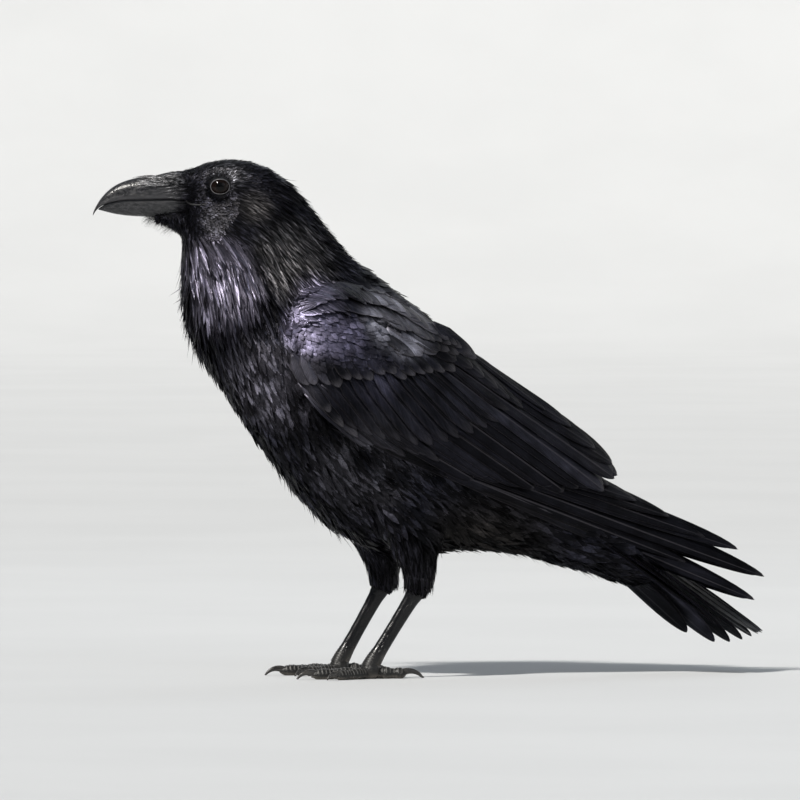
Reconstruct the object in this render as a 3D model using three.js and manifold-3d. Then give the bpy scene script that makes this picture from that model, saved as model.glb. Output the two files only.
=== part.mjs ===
// A common raven (Corvus corax) standing at rest, life size, in millimetres.
// The bird faces -Y, its left side is +X and +Z is up. The origin lies on the floor, under the middle
// of the model's outline. Every outline is the plumage's own, out to the tips of the feathers.
import * as THREE from 'three';
import { mergeVertices } from 'three/addons/utils/BufferGeometryUtils.js';
import Module from 'manifold-3d';

const wasm = await Module();
wasm.setup();

// ---- Driving dimensions -------------------------------------------------------------------------

const gap = 0.45; // clearance that a piece is cut with where it meets its neighbour
const partingGap = 0.4; // width of the thin cuts that part the body
const originForward = -3.2; // where the middle of the outline lies, measured from the point below the shoulders

// The head is turned to the bird's right about an upright axis in the neck.
const headTurn = THREE.MathUtils.degToRad(-13);
const neckAxisForward = 132;

// Body outline in side view, from the face to the tips of the tail coverts. Each station is a section
// through the back and the belly: back forward, back up, belly forward, belly up, half width,
// how far the widest level sits towards the belly, and the share of the head's turn.
const bodyStations = [
  [186, 379, 189, 341, 14, 0.0, 1],
  [171, 386.5, 190, 327, 22, 0.03, 1],
  [149, 389.5, 190, 310, 27, 0.08, 1],
  [126, 384.5, 190, 293, 29.5, 0.12, 1],
  [105, 370, 189.5, 276, 32, 0.12, 0.85],
  [90, 351, 185, 257, 35.5, 0.12, 0.6],
  [76, 333, 176, 239, 40, 0.12, 0.35],
  [60, 315, 165, 221, 45.5, 0.1, 0.12],
  [41, 301, 153, 203, 50, 0.08, 0],
  [18, 284, 138, 181.5, 53, 0.05, 0],
  [-5, 265, 120, 157.5, 54, 0.02, 0],
  [-28, 242.5, 98.5, 131, 53, 0, 0],
  [-51, 219, 72, 107, 50, -0.02, 0],
  [-73, 197, 42, 95.5, 46, -0.04, 0],
  [-94, 176.5, 4, 92.5, 40.5, -0.06, 0],
  [-115, 155, -35, 94.5, 34, -0.06, 0],
  [-136, 135, -72, 90.5, 28.5, -0.04, 0],
  [-156, 116, -110, 80.5, 23, 0, 0],
  [-172, 101, -142, 71.5, 16, 0, 0],
  [-184, 89.5, -162, 65, 7, 0, 0],
];

// Bill, along the head: forward, top, bottom, half width.
const upperBillStations = [
  [178, 378.5, 357.5, 12.5],
  [196, 377, 360, 11.7],
  [209, 376.6, 360.1, 10.8],
  [221, 375.4, 359.9, 9.3],
  [231, 373, 359.5, 7.8],
  [239, 369.6, 358.4, 6.2],
  [245.5, 364.8, 356.6, 4.7],
  [250.7, 359, 353.9, 3.2],
  [254.2, 353.2, 350.2, 2],
  [256, 349, 347, 1.2],
  [256.4, 346.8, 345.8, 0.5],
];
const lowerBillStations = [
  [178, 356.8, 346, 11.6],
  [196, 359.2, 345.8, 10.8],
  [209, 359.3, 345.9, 9.7],
  [221, 359.1, 346, 8.2],
  [231, 358.7, 346.3, 6.8],
  [239, 357.5, 347, 5.3],
  [245.5, 355.4, 348.2, 3.6],
  [250, 352.8, 349.4, 2],
  [252.3, 351, 350.2, 0.8],
];
// Bristles that cover the nostrils, and the feathered chin below the bill: same measures.
const nasalTuftStations = [
  [226, 375.6, 372.5, 5],
  [218, 377.6, 367.5, 10.5],
  [208, 378.6, 365, 12.6],
  [196, 379.2, 364, 13.8],
  [182, 381, 362, 16],
];
const chinStations = [
  [221, 347, 345.6, 3],
  [213, 347.8, 343.2, 6.5],
  [205, 349, 341, 9.5],
  [197, 351, 336.5, 12.5],
  [185, 354, 327, 16.5],
];

// Eyeball, of which the lids leave a disc about 13 mm across in sight.
const eye = { forward: 161.8, up: 367.6, side: 13.9, radius: 9 };

// Folded wing, outer layer: the coverts, secondaries and tertials. Each station is a section across the
// wing: upper edge forward, up and side, lower edge forward, up and side, bulge between them, thickness.
const wingCoverStations = [
  [121, 283, 43, 122, 262, 49, 2, 8],
  [112, 289, 42, 118, 238, 56, 8, 15],
  [95, 293, 40, 106, 217, 60, 12, 18],
  [75, 294, 36, 88, 196, 62, 14, 19],
  [50, 291, 30, 66, 176, 61, 16, 18],
  [22, 281.5, 24, 35, 162, 58, 17, 16],
  [-9, 260.5, 20, 3, 153, 54, 16, 14],
  [-41, 235.5, 16, -36, 144, 49, 12, 12],
  [-68, 214, 13, -76, 138, 42, 9, 9],
  [-94, 200.5, 10, -108, 136, 33, 6, 6],
  [-120, 181.5, 8, -130, 138, 23, 4, 4],
  [-139, 163.5, 7, -142, 146, 12, 1, 2.5],
];
// Inner layer: the blade of primaries, which runs on to the wing tip. Same measures.
const primaryStations = [
  [32, 182, 53, 26, 163, 56, 1, 3],
  [8, 172, 52, 3, 150.5, 55, 2, 4],
  [-44, 158, 43, -48, 130, 48, 3, 5],
  [-86, 148, 33, -91, 116.5, 40.5, 3, 5],
  [-126, 149, 21, -128, 104.5, 31, 3, 4.5],
  [-150, 135, 18, -150, 96.5, 25, 2.5, 4],
  [-178.5, 117.5, 15, -179, 86, 20, 2, 3.4],
  [-211, 103, 13.5, -214, 73.5, 15.5, 1.5, 2.8],
  [-229, 95.5, 12.5, -234, 64.5, 14, 1, 2.4],
  [-246, 86.5, 12, -248, 57, 13, 0.8, 2],
  [-259.5, 75.7, 11.5, -258.5, 69, 11.5, 0, 1.2],
];
// Wedge of air between the two longest primaries: its apex and the two finger tips.
const fingerNotch = { apex: [-213, 86], upperTip: [-263, 71.5], lowerTip: [-257, 52] };
const coverPartingForward = 14; // where the coverts end and the secondaries begin, on the wing's middle line

// Folded tail: a ridge that slopes down and back, with six rectrices stepping down on either side.
const tailRoot = { forward: -96, up: 145 };
const tailSlope = THREE.MathUtils.degToRad(34.5);
const tailRoll = THREE.MathUtils.degToRad(12); // the tail's twist, which lifts its left side
// Each rectrix from the middle one outwards: length, sideways place of the shaft at the tip, and drop
// below the ridge there.
const rectrices = [
  { length: 199, side: 4, drop: 2.5 },
  { length: 197.5, side: 10, drop: 6 },
  { length: 194, side: 15.5, drop: 10.5 },
  { length: 188, side: 21, drop: 16 },
  { length: 179, side: 26, drop: 21.5 },
  { length: 158, side: 30.5, drop: 27 },
];
const rectrix = { outer: 9, inner: 18, depth: 6.4 }; // widths of its vanes, and depth of its layer at the root
// Outline of a rectrix: share of its length and share of its full width.
const rectrixOutline = [[0, 0.5], [0.4, 0.85], [0.8, 1], [0.95, 0.7], [1, 0.06]];

// Legs. The heel is the backward-pointing joint under the feathered thigh.
const legSpread = 33; // side coordinate of each foot's middle
const feet = {
  left: { heelForward: 18, heelUp: 67.5, jointForward: 55 },
  right: { heelForward: 28, heelUp: 67.5, jointForward: 61.5 },
};
const jointUp = 9.5; // height of the joint that the toes spring from
// Feathered thigh below the belly, as distances from the heel: forward, up, half depth, half width.
const thighStations = [
  [14, 74, 25, 17],
  [5, 45, 24.5, 18],
  [1, 27, 20.5, 16.5],
  [-1, 12.5, 14.2, 12.5],
  [0.5, -1, 10, 9],
  [2, -6.5, 7, 6.4],
];
// Tarsus from the heel to the toes: share of the way, half depth, half width.
const tarsusStations = [
  [-0.04, 5.2, 4.6],
  [0.06, 6.2, 4.8],
  [0.2, 4.9, 3.6],
  [0.5, 4.5, 3.3],
  [0.78, 4.7, 3.7],
  [0.93, 5.8, 5.4],
  [1.03, 6, 6.6],
];
const solePad = { radius: 7.5, height: 7 }; // the fleshy pad under the toes' joint
// Toes: heading from straight ahead (towards the bird's outside), length, root radius, claw length.
const toes = [
  { number: 1, heading: 176, length: 27, radius: 4.6, claw: 19 },
  { number: 2, heading: -27, length: 34, radius: 4.3, claw: 16 },
  { number: 3, heading: 2, length: 46, radius: 4.5, claw: 16.5 },
  { number: 4, heading: 30, length: 36, radius: 4.2, claw: 14 },
];
const toeStart = 6.5; // distance of each toe's first section from the joint
const toeSink = 0.55; // how far the toe pads are flattened where they bear on the floor
const padBulge = 0.09; // share by which each joint's pad stands out from the toe

// ---- Materials ----------------------------------------------------------------------------------

const paint = (color, roughness) => new THREE.MeshStandardMaterial({ color, roughness, metalness: 0 });
const materials = {
  plumage: paint(0x0d0d12, 0.45),
  flight: paint(0x0a0a0e, 0.4),
  bill: paint(0x17181b, 0.3),
  skin: paint(0x1c1b1d, 0.5),
  claw: paint(0x1d1b1a, 0.3),
  eye: paint(0x070605, 0.08),
};

// ---- Geometry helpers ---------------------------------------------------------------------------

// A point of the bird: forward, towards its left, and up.
const place = (forward, side, up) => new THREE.Vector3(side, -(forward - originForward), up);

// Turns a point about the neck's upright axis by a share of the head's turn.
function turned(point, share) {
  const axis = place(neckAxisForward, 0, 0);
  return point.sub(axis).applyAxisAngle(new THREE.Vector3(0, 0, 1), headTurn * share).add(axis);
}

// Catmull-Rom value of rows of numbers at u, from 0 at the first row to 1 at the last.
function between(rows, u) {
  const along = Math.min(Math.max(u, 0), 1) * (rows.length - 1);
  const i = Math.min(Math.floor(along), rows.length - 2);
  const t = along - i;
  const [a, b, c, d] = [i - 1, i, i + 1, i + 2].map((k) => rows[Math.min(Math.max(k, 0), rows.length - 1)]);
  return b.map((value, k) => {
    const bend = 2 * a[k] - 5 * value + 4 * c[k] - d[k] + (3 * (value - c[k]) + d[k] - a[k]) * t;
    return value + 0.5 * t * (c[k] - a[k] + t * bend);
  });
}

// A closed skin over rings of points: quads between neighbouring rings and a fan at each end.
function skin(rings) {
  const count = rings[0].length;
  const points = rings.flat();
  const faces = [];
  for (let r = 0; r + 1 < rings.length; r += 1) {
    for (let k = 0; k < count; k += 1) {
      const [a, b] = [r * count + k, r * count + ((k + 1) % count)];
      faces.push(a, b, a + count, b, b + count, a + count);
    }
  }
  for (const end of [0, rings.length - 1]) {
    const ring = rings[end];
    const hub = points.length;
    points.push(ring.reduce((sum, p) => sum.add(p), new THREE.Vector3()).divideScalar(count));
    for (let k = 0; k < count; k += 1) {
      const [a, b] = [end * count + k, end * count + ((k + 1) % count)];
      faces.push(...(end ? [a, b, hub] : [b, a, hub]));
    }
  }
  const geometry = new THREE.BufferGeometry().setFromPoints(points);
  geometry.setIndex(volumeOf(points, faces) < 0 ? faces.reverse() : faces);
  return geometry;
}

// Six times the volume inside the faces: negative when they point inwards.
function volumeOf(points, faces) {
  let sum = 0;
  for (let i = 0; i < faces.length; i += 3) {
    const [a, b, c] = [0, 1, 2].map((k) => points[faces[i + k]]);
    sum += a.dot(new THREE.Vector3().crossVectors(b, c));
  }
  return sum;
}

// A three.js geometry as a manifold solid, and back.
function solid(geometry) {
  const bare = geometry.clone();
  bare.deleteAttribute('normal');
  bare.deleteAttribute('uv');
  const merged = mergeVertices(bare, 1e-4);
  return new wasm.Manifold(new wasm.Mesh({
    numProp: 3,
    vertProperties: new Float32Array(merged.attributes.position.array),
    triVerts: new Uint32Array(merged.index.array),
  }));
}

function geometryOf(shape) {
  const { vertProperties, triVerts } = shape.getMesh();
  const geometry = new THREE.BufferGeometry();
  geometry.setAttribute('position', new THREE.BufferAttribute(vertProperties, 3));
  geometry.setIndex(new THREE.BufferAttribute(triVerts, 1));
  geometry.computeVertexNormals();
  return geometry;
}

// The largest body of a solid, without any sliver that a cut leaves beside it.
function mainBody(shape) {
  return shape.decompose().reduce((best, body) => (body.volume() > best.volume() ? body : best));
}

// Rings of a row-driven shape: count sections between two shares of its length.
function rings(rows, count, ringOf, from = 0, to = 1) {
  const steps = Array.from({ length: count }, (_, i) => from + ((to - from) * i) / (count - 1));
  return steps.map((u) => ringOf(between(rows, u), u));
}

// ---- Body ---------------------------------------------------------------------------------------

const bodySides = 20;

// One section of the body. grow makes it larger all round.
function bodyRing([backForward, backUp, bellyForward, bellyUp, halfWidth, low, turn], grow) {
  const middle = [(backForward + bellyForward) / 2, (backUp + bellyUp) / 2];
  const half = [(backForward - bellyForward) / 2, (backUp - bellyUp) / 2];
  const stretch = 1 + grow / Math.hypot(...half);
  return Array.from({ length: bodySides }, (_, i) => {
    const angle = (2 * Math.PI * i) / bodySides;
    const rise = Math.cos(angle) * stretch;
    const side = Math.sin(angle) * (halfWidth + grow) * (1 - low * Math.cos(angle) * 2);
    const point = place(middle[0] + half[0] * rise, side, middle[1] + half[1] * rise);
    return turned(point, turn);
  });
}

const bodyShape = (grow, count = 25) => solid(skin(rings(bodyStations, count, (row) => bodyRing(row, grow))));

// A bill-like shape along the head: an arched side and a flatter one. arch is 1 for an arched top and
// -1 for an arched bottom, and both ways round is a plain oval.
function billRing([forward, top, bottom, halfWidth], arch, grow) {
  const count = 12;
  const ring = Array.from({ length: count }, (_, i) => {
    const angle = (2 * Math.PI * (i + 0.5)) / count;
    const rise = Math.sin(angle);
    const flat = Math.sign(rise) === arch ? 1 : 0.12;
    const half = (top - bottom) / 2 + grow;
    const base = (top + bottom) / 2 - arch * half * 0.76;
    const reach = arch === 0 ? half * rise : rise * flat * half * 1.76;
    const level = arch === 0 ? (top + bottom) / 2 : base;
    const point = place(forward, Math.cos(angle) * (halfWidth + grow), level + reach);
    return turned(point, 1);
  });
  return ring;
}

function billShape(rows, arch, grow, count) {
  return solid(skin(rings(rows, count, (row) => billRing(row, arch, grow))));
}

function eyeShape(side, grow) {
  const ball = new THREE.SphereGeometry(eye.radius + grow, 14, 8).rotateZ(Math.PI / 2);
  const centre = turned(place(eye.forward, side * eye.side, eye.up), 1);
  return solid(ball.translate(centre.x, centre.y, centre.z));
}

// A block that keeps one side of a sloping plane through two side-view points.
function beyond([forwardA, upA], [forwardB, upB], offset, towards) {
  const reach = 900;
  const angle = Math.atan2(upB - upA, forwardB - forwardA);
  const block = new THREE.BoxGeometry(reach, reach, reach).translate(0, 0, towards * (reach / 2 + offset));
  block.rotateX(-angle);
  const middle = place((forwardA + forwardB) / 2, 0, (upA + upB) / 2);
  return solid(block.translate(middle.x, middle.y, middle.z));
}

const headCut = [[104, 371], [200, 318]]; // nape to throat
const neckCut = [[58, 316], [184, 240]]; // top of the back to the breast

function makeBody() {
  const upperBill = billShape(upperBillStations, 1, 0, 11);
  const lowerBill = billShape(lowerBillStations, -1, 0, 9);
  const plumage = bodyShape(0)
    .add(billShape(nasalTuftStations, 0, 0, 6))
    .add(billShape(chinStations, 0, 0, 6));
  const fitted = [
    billShape(upperBillStations, 1, gap, 11),
    billShape(lowerBillStations, -1, gap, 9),
    eyeShape(1, gap),
    eyeShape(-1, gap),
  ].reduce((shape, cutter) => shape.subtract(cutter), plumage);
  const half = partingGap / 2;
  const aboveHead = beyond(...headCut, half, 1);
  const belowHead = beyond(...headCut, half, -1);
  const aboveNeck = beyond(...neckCut, half, 1);
  const belowNeck = beyond(...neckCut, half, -1);
  return {
    head: [mainBody(fitted.intersect(aboveHead)), 'plumage'],
    neck: [mainBody(fitted.intersect(belowHead).intersect(aboveNeck)), 'plumage'],
    trunk: [mainBody(fitted.intersect(belowNeck)), 'plumage'],
    upper_bill: [upperBill, 'bill'],
    lower_bill: [lowerBill, 'bill'],
    eye_left: [eyeShape(1, 0), 'eye'],
    eye_right: [eyeShape(-1, 0), 'eye'],
  };
}

// ---- Wings --------------------------------------------------------------------------------------

const wingAcross = 6; // points across each face of a wing section

// One section of a wing sheet: its outer face from the upper to the lower edge, then its inner face.
function wingRing([upForward, upUp, upSide, lowForward, lowUp, lowSide, bulge, thickness], side, grow) {
  const face = (depth) => Array.from({ length: wingAcross }, (_, i) => {
    const t = i / (wingAcross - 1);
    const swell = 4 * t * (1 - t);
    const edge = (t - 0.5) * 2;
    const out = upSide + (lowSide - upSide) * t + bulge * swell;
    const thick = thickness * (0.35 + 0.65 * Math.sqrt(1 - edge * edge * 0.98));
    const spread = grow * edge;
    return place(
      upForward + (lowForward - upForward) * t,
      side * (out + (depth ? -thick - grow : grow)),
      upUp + (lowUp - upUp) * t - spread,
    );
  });
  return [...face(0), ...face(1).reverse()];
}

function wingSheet(rows, side, grow, count) {
  return solid(skin(rings(rows, count, (row) => wingRing(row, side, grow))));
}

// The air between the two longest primaries, as a wedge right through the wing.
function fingerNotchShape(side) {
  const outline = new THREE.Shape([fingerNotch.apex, fingerNotch.upperTip, fingerNotch.lowerTip]
    .map(([forward, up]) => new THREE.Vector2(-forward, up)));
  const wedge = new THREE.ExtrudeGeometry(outline, { depth: 60, bevelEnabled: false });
  wedge.translate(0, 0, -30).rotateX(Math.PI / 2).rotateZ(Math.PI / 2);
  return solid(wedge.translate(side * 12, 0, 0));
}

function makeWing(name, side, body, tail) {
  const cover = wingSheet(wingCoverStations, side, 0, 17);
  const grownCover = wingSheet(wingCoverStations, side, gap, 17);
  const primaries = wingSheet(primaryStations, side, 0, 15)
    .subtract(grownCover).subtract(body).subtract(tail).subtract(fingerNotchShape(side));
  const fitted = cover.subtract(body);
  const half = partingGap / 2;
  const cut = [[coverPartingForward + 10, 300], [coverPartingForward - 10, 150]];
  return {
    [`wing_${name}_coverts`]: [mainBody(fitted.intersect(beyond(...cut, half, 1))), 'plumage'],
    [`wing_${name}_secondaries`]: [mainBody(fitted.intersect(beyond(...cut, half, -1))), 'flight'],
    [`wing_${name}_primaries`]: [mainBody(primaries), 'flight'],
  };
}

// ---- Tail ---------------------------------------------------------------------------------------

// One rectrix: a thin blade that is deepest at its shaft. lean is 1 on the left half and -1 on the right.
function rectrixShape({ length, side, drop }, lean, grow) {
  const roll = new THREE.Vector3(0, Math.cos(tailSlope), -Math.sin(tailSlope));
  const root = place(tailRoot.forward, 0, tailRoot.up);
  const rolled = (along, across, down) => root.clone().add(new THREE.Vector3(
    across,
    along * Math.cos(tailSlope) - down * Math.sin(tailSlope),
    -along * Math.sin(tailSlope) - down * Math.cos(tailSlope),
  ).applyAxisAngle(roll, -tailRoll * along / rectrices[0].length));
  const sections = rectrixOutline.map(([share, width]) => {
    const along = length * share;
    const spread = side * (0.45 + 0.55 * share);
    const fall = drop * (0.55 + 0.45 * share);
    const [outer, inner] = [rectrix.outer * width + grow, rectrix.inner * width + grow];
    const half = rectrix.depth * (1 - 0.68 * share) * 0.5 + grow;
    const edge = 0.27 + grow;
    const tilt = drop / rectrices.at(-1).drop * 0.45;
    return [
      [outer, edge], [0, half], [-inner, edge], [-inner, -edge], [0, -half], [outer, -edge],
    ].map(([out, rise]) => rolled(along, lean * (spread + out), fall + out * tilt - rise));
  });
  return solid(skin(sections));
}

function tailShape(grow) {
  return rectrices.flatMap((feather) => [1, -1].map((lean) => rectrixShape(feather, lean, grow)))
    .reduce((shape, feather) => shape.add(feather));
}

// ---- Legs ---------------------------------------------------------------------------------------

const floorBlock = () => solid(new THREE.BoxGeometry(900, 900, 100).translate(0, 0, -50));

// A closed tube through centres, with a half depth, half width and side direction at each.
function tube(sections, count) {
  const ringOf = (centre, along, depth, width, across) => {
    const upright = new THREE.Vector3().crossVectors(along, across).normalize();
    return Array.from({ length: count }, (_, i) => {
      const angle = (2 * Math.PI * (i + 0.5)) / count;
      return centre.clone()
        .addScaledVector(across, Math.cos(angle) * width)
        .addScaledVector(upright, Math.sin(angle) * depth);
    });
  };
  return solid(skin(sections.map(({ centre, depth, width, across }, i) => {
    const before = sections[Math.max(i - 1, 0)].centre;
    const after = sections[Math.min(i + 1, sections.length - 1)].centre;
    return ringOf(centre, after.clone().sub(before).normalize(), depth, width, across);
  })));
}

const acrossBird = () => new THREE.Vector3(1, 0, 0);

function thighShape(side, foot, grow = 0) {
  const sections = Array.from({ length: 8 }, (_, i) => {
    const [forward, up, depth, width] = between(thighStations, i / 7);
    return {
      centre: place(foot.heelForward + forward, side * legSpread, foot.heelUp + up),
      depth: depth + grow,
      width: width + grow,
      across: acrossBird(),
    };
  });
  return tube(sections, 10);
}

function tarsusShape(side, foot, grow = 0) {
  const sections = Array.from({ length: 8 }, (_, i) => {
    const [share, depth, width] = between(tarsusStations, i / 7);
    return {
      centre: place(
        foot.heelForward + (foot.jointForward - foot.heelForward) * share,
        side * legSpread,
        foot.heelUp + (jointUp - foot.heelUp) * share,
      ),
      depth: depth + grow,
      width: width + grow,
      across: acrossBird(),
    };
  });
  return tube(sections, 8).add(padShape(side, foot, grow));
}

// The pad under the toes' joint, flat where it stands.
function padShape(side, foot, grow = 0) {
  const dome = new THREE.SphereGeometry(1, 8, 5).rotateX(Math.PI / 2);
  dome.scale(solePad.radius + grow, solePad.radius + grow, solePad.height + grow);
  const centre = place(foot.jointForward, side * legSpread, solePad.height - toeSink);
  return solid(dome.translate(centre.x, centre.y, centre.z));
}

// Unit vectors of a toe: along it and across it, level with the floor.
function toeDirections(toe, side) {
  const heading = THREE.MathUtils.degToRad(toe.heading);
  const along = place(Math.cos(heading) + originForward, side * Math.sin(heading), 0);
  return { along, across: new THREE.Vector3(0, 0, 1).cross(along).normalize() };
}

// A toe: a low tube with a pad at each of its joints, flat where it bears on the floor.
function toeShape(toe, side, foot, grow = 0) {
  const { along, across } = toeDirections(toe, side);
  const joint = place(foot.jointForward, side * legSpread, 0);
  const count = 8;
  const sections = Array.from({ length: count }, (_, i) => {
    const u = i / (count - 1);
    const pads = 1 + padBulge * Math.cos(u * Math.PI * 4);
    const blunt = Math.sqrt(1 - Math.pow(Math.max(u - 0.86, 0) / 0.17, 2));
    const radius = toe.radius * (1 - 0.2 * u) * pads * blunt;
    const centre = joint.clone().addScaledVector(along, toeStart + (toe.length - toeStart) * u);
    centre.z = toe.radius * (1 - 0.2 * u) * (1 + padBulge) - toeSink;
    return { centre, depth: radius + grow, width: radius * 0.95 + grow, across };
  });
  return tube(sections, 6);
}

// A claw: a tapering arc that springs from the toe's end and comes down to the floor.
function clawShape(toe, side, foot, grow = 0) {
  const { along, across } = toeDirections(toe, side);
  const root = place(foot.jointForward, side * legSpread, 0).addScaledVector(along, toe.length - 2.6);
  const rootUp = toe.radius * 0.8 + 0.8;
  const rootRadius = toe.radius * 0.56;
  const bend = 1.5; // radians that the claw turns through
  const arcRadius = toe.claw / bend;
  const count = 7;
  const sections = Array.from({ length: count }, (_, i) => {
    const angle = (bend * i) / (count - 1);
    const start = 0.42; // radians above level at the root
    const forward = arcRadius * (Math.sin(angle - start) + Math.sin(start));
    const up = rootUp + arcRadius * (Math.cos(angle - start) - Math.cos(start));
    const radius = rootRadius * Math.pow(1 - (0.94 * i) / (count - 1), 0.8) + 0.2;
    const centre = root.clone().addScaledVector(along, forward);
    centre.z = Math.max(up, radius + 0.25);
    return { centre, depth: radius + grow, width: radius * 0.8 + grow, across };
  });
  return tube(sections, 6);
}

function makeLeg(name, side, foot, body) {
  const tarsus = tarsusShape(side, foot);
  const parts = {
    [`thigh_${name}`]: [mainBody(thighShape(side, foot).subtract(body).subtract(tarsusShape(side, foot, gap))),
      'plumage'],
    [`tarsus_${name}`]: [tarsus.subtract(floorBlock()), 'skin'],
  };
  let taken = tarsusShape(side, foot, gap);
  for (const toe of toes) {
    const claw = clawShape(toe, side, foot);
    const bare = toeShape(toe, side, foot).subtract(floorBlock()).subtract(taken);
    parts[`toe_${name}_${toe.number}`] = [mainBody(bare.subtract(clawShape(toe, side, foot, gap))), 'skin'];
    parts[`claw_${name}_${toe.number}`] = [claw, 'claw'];
    taken = taken.add(toeShape(toe, side, foot, gap));
  }
  return parts;
}

// ---- Assembly -----------------------------------------------------------------------------------

const grownBody = bodyShape(gap);
const grownTail = tailShape(gap);
const tail = mainBody(tailShape(0).subtract(grownBody));
const parts = {
  ...makeBody(),
  ...makeWing('left', 1, grownBody, grownTail),
  ...makeWing('right', -1, grownBody, grownTail),
  tail: [tail, 'flight'],
  ...makeLeg('left', 1, feet.left, grownBody),
  ...makeLeg('right', -1, feet.right, grownBody),
};

const raven = new THREE.Group();
for (const [name, [shape, material]] of Object.entries(parts)) {
  const mesh = new THREE.Mesh(geometryOf(shape), materials[material]);
  mesh.name = name;
  raven.add(mesh);
}

export default raven;
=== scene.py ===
import math

import bmesh
import bpy
import numpy as np
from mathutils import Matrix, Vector
from mathutils.bvhtree import BVHTree


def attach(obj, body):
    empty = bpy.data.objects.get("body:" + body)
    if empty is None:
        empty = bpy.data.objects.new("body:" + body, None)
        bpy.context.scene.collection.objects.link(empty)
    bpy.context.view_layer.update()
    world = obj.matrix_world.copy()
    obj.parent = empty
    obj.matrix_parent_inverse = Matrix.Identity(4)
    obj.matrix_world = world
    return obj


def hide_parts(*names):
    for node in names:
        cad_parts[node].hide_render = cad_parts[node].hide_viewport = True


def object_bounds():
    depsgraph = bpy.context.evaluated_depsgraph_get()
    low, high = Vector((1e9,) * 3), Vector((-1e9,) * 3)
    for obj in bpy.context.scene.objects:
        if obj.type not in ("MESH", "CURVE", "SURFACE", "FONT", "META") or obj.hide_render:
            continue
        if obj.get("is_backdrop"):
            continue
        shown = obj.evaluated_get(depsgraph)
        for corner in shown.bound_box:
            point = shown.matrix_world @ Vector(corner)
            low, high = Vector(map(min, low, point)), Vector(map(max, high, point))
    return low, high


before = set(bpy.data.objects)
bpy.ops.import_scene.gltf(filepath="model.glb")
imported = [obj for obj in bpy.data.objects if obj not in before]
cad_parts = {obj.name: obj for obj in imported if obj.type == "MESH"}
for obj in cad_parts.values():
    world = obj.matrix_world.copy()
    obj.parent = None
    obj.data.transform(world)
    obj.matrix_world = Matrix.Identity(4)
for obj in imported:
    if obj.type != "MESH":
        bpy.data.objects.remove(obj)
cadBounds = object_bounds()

# A common raven at rest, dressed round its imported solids. Lengths in the tables below are millimetres,
# as forward, side and up from the point under the shoulders. The scene itself is in metres.

mm = 0.001
birdFrame = {
    "originForward": -3.2,     # forward place of the scene's origin
    "headTurn": -13.0,         # degrees that the head is turned about the neck
    "neckAxisForward": 132.0,
    "turnStarts": 262.0,       # the turn grows along the neck, between these two levels
    "turnEnds": 366.0,
}


def place(forward, side, up):  # scene point of millimetres along the bird, as one point or as arrays
    return np.stack(np.broadcast_arrays(side, birdFrame["originForward"] - forward, up), axis=-1) * mm


def measure(points):  # the other way round: forward, side and up in millimetres
    points = np.asarray(points) / mm
    return birdFrame["originForward"] - points[..., 1], points[..., 0], points[..., 2]


def smoothStep(low, high, value):
    t = np.clip((value - low) / (high - low), 0, 1)
    return t * t * (3 - 2 * t)


def unit(vectors):
    return vectors / np.maximum(np.linalg.norm(vectors, axis=-1, keepdims=True), 1e-9)


def turned(points, share=None):  # scene points turned with the head, as far up the neck as each one lies
    forward, side, up = measure(points)
    if share is None:
        level = 0.6 * forward + 0.8 * up
        share = smoothStep(birdFrame["turnStarts"], birdFrame["turnEnds"], level)
    angle = math.radians(birdFrame["headTurn"]) * share
    ahead = forward - birdFrame["neckAxisForward"]
    x = side * np.cos(angle) + ahead * np.sin(angle)
    y = side * np.sin(angle) - ahead * np.cos(angle)
    return place(birdFrame["neckAxisForward"] - y, x, up)


# camera, floor and lights
viewSettings = {
    "azimuth": 75.0, "elevation": 1.5,        # degrees round the bird and above the horizon
    "distance": 10.0, "frameWidth": 0.6,      # metres to the bird, and across the picture there
    "leftOfOrigin": 0.0256, "height": 0.207,  # what the middle of the picture looks at
    "sensorWidth": 36, "clipEnd": 100,
}
floorSettings = {
    "flatRings": (0.4, 2.0, 11.0), "wallRadius": 17.0, "wallHeight": 11.0, "steps": 24, "sides": 96,
}
lightsAimAt = 0.2  # height of the spot that all lights look at
sunSettings = {
    "azimuth": 33, "elevation": 47, "distance": 3,
    "strength": 4.1, "angle": 5.0, "color": (1.0, 0.965, 0.91),
}
lampSettings = {  # azimuth, elevation, distance, size, watts, colour
    "fill": (112, 30, 2.6, 1.6, 5, (0.84, 0.91, 1.0)),
    "back": (245, 48, 2.4, 1.2, 5, (0.9, 0.95, 1.0)),
}
worldGlow = {"color": (0.74, 0.86, 1.0), "strength": 0.22}


def around(azimuth, elevation, distance):
    a, e = math.radians(azimuth), math.radians(elevation)
    return Vector((math.sin(a) * math.cos(e), -math.cos(a) * math.cos(e), math.sin(e))) * distance


def aim(obj, spot, target):
    obj.location = spot
    obj.rotation_euler = (target - spot).to_track_quat("-Z", "Y").to_euler()


def linkObject(obj):
    bpy.context.scene.collection.objects.link(obj)
    return obj


def makeCamera():
    view = viewSettings
    a = math.radians(view["azimuth"])
    right = Vector((math.cos(a), math.sin(a), 0))
    target = Vector((0, 0, view["height"])) - right * view["leftOfOrigin"]
    data = bpy.data.cameras.new("camera")
    data.sensor_width = view["sensorWidth"]
    data.lens = data.sensor_width * view["distance"] / view["frameWidth"]
    data.clip_end = view["clipEnd"]
    camera = linkObject(bpy.data.objects.new("camera", data))
    aim(camera, target + around(view["azimuth"], view["elevation"], view["distance"]), target)
    bpy.context.scene.camera = camera


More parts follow.
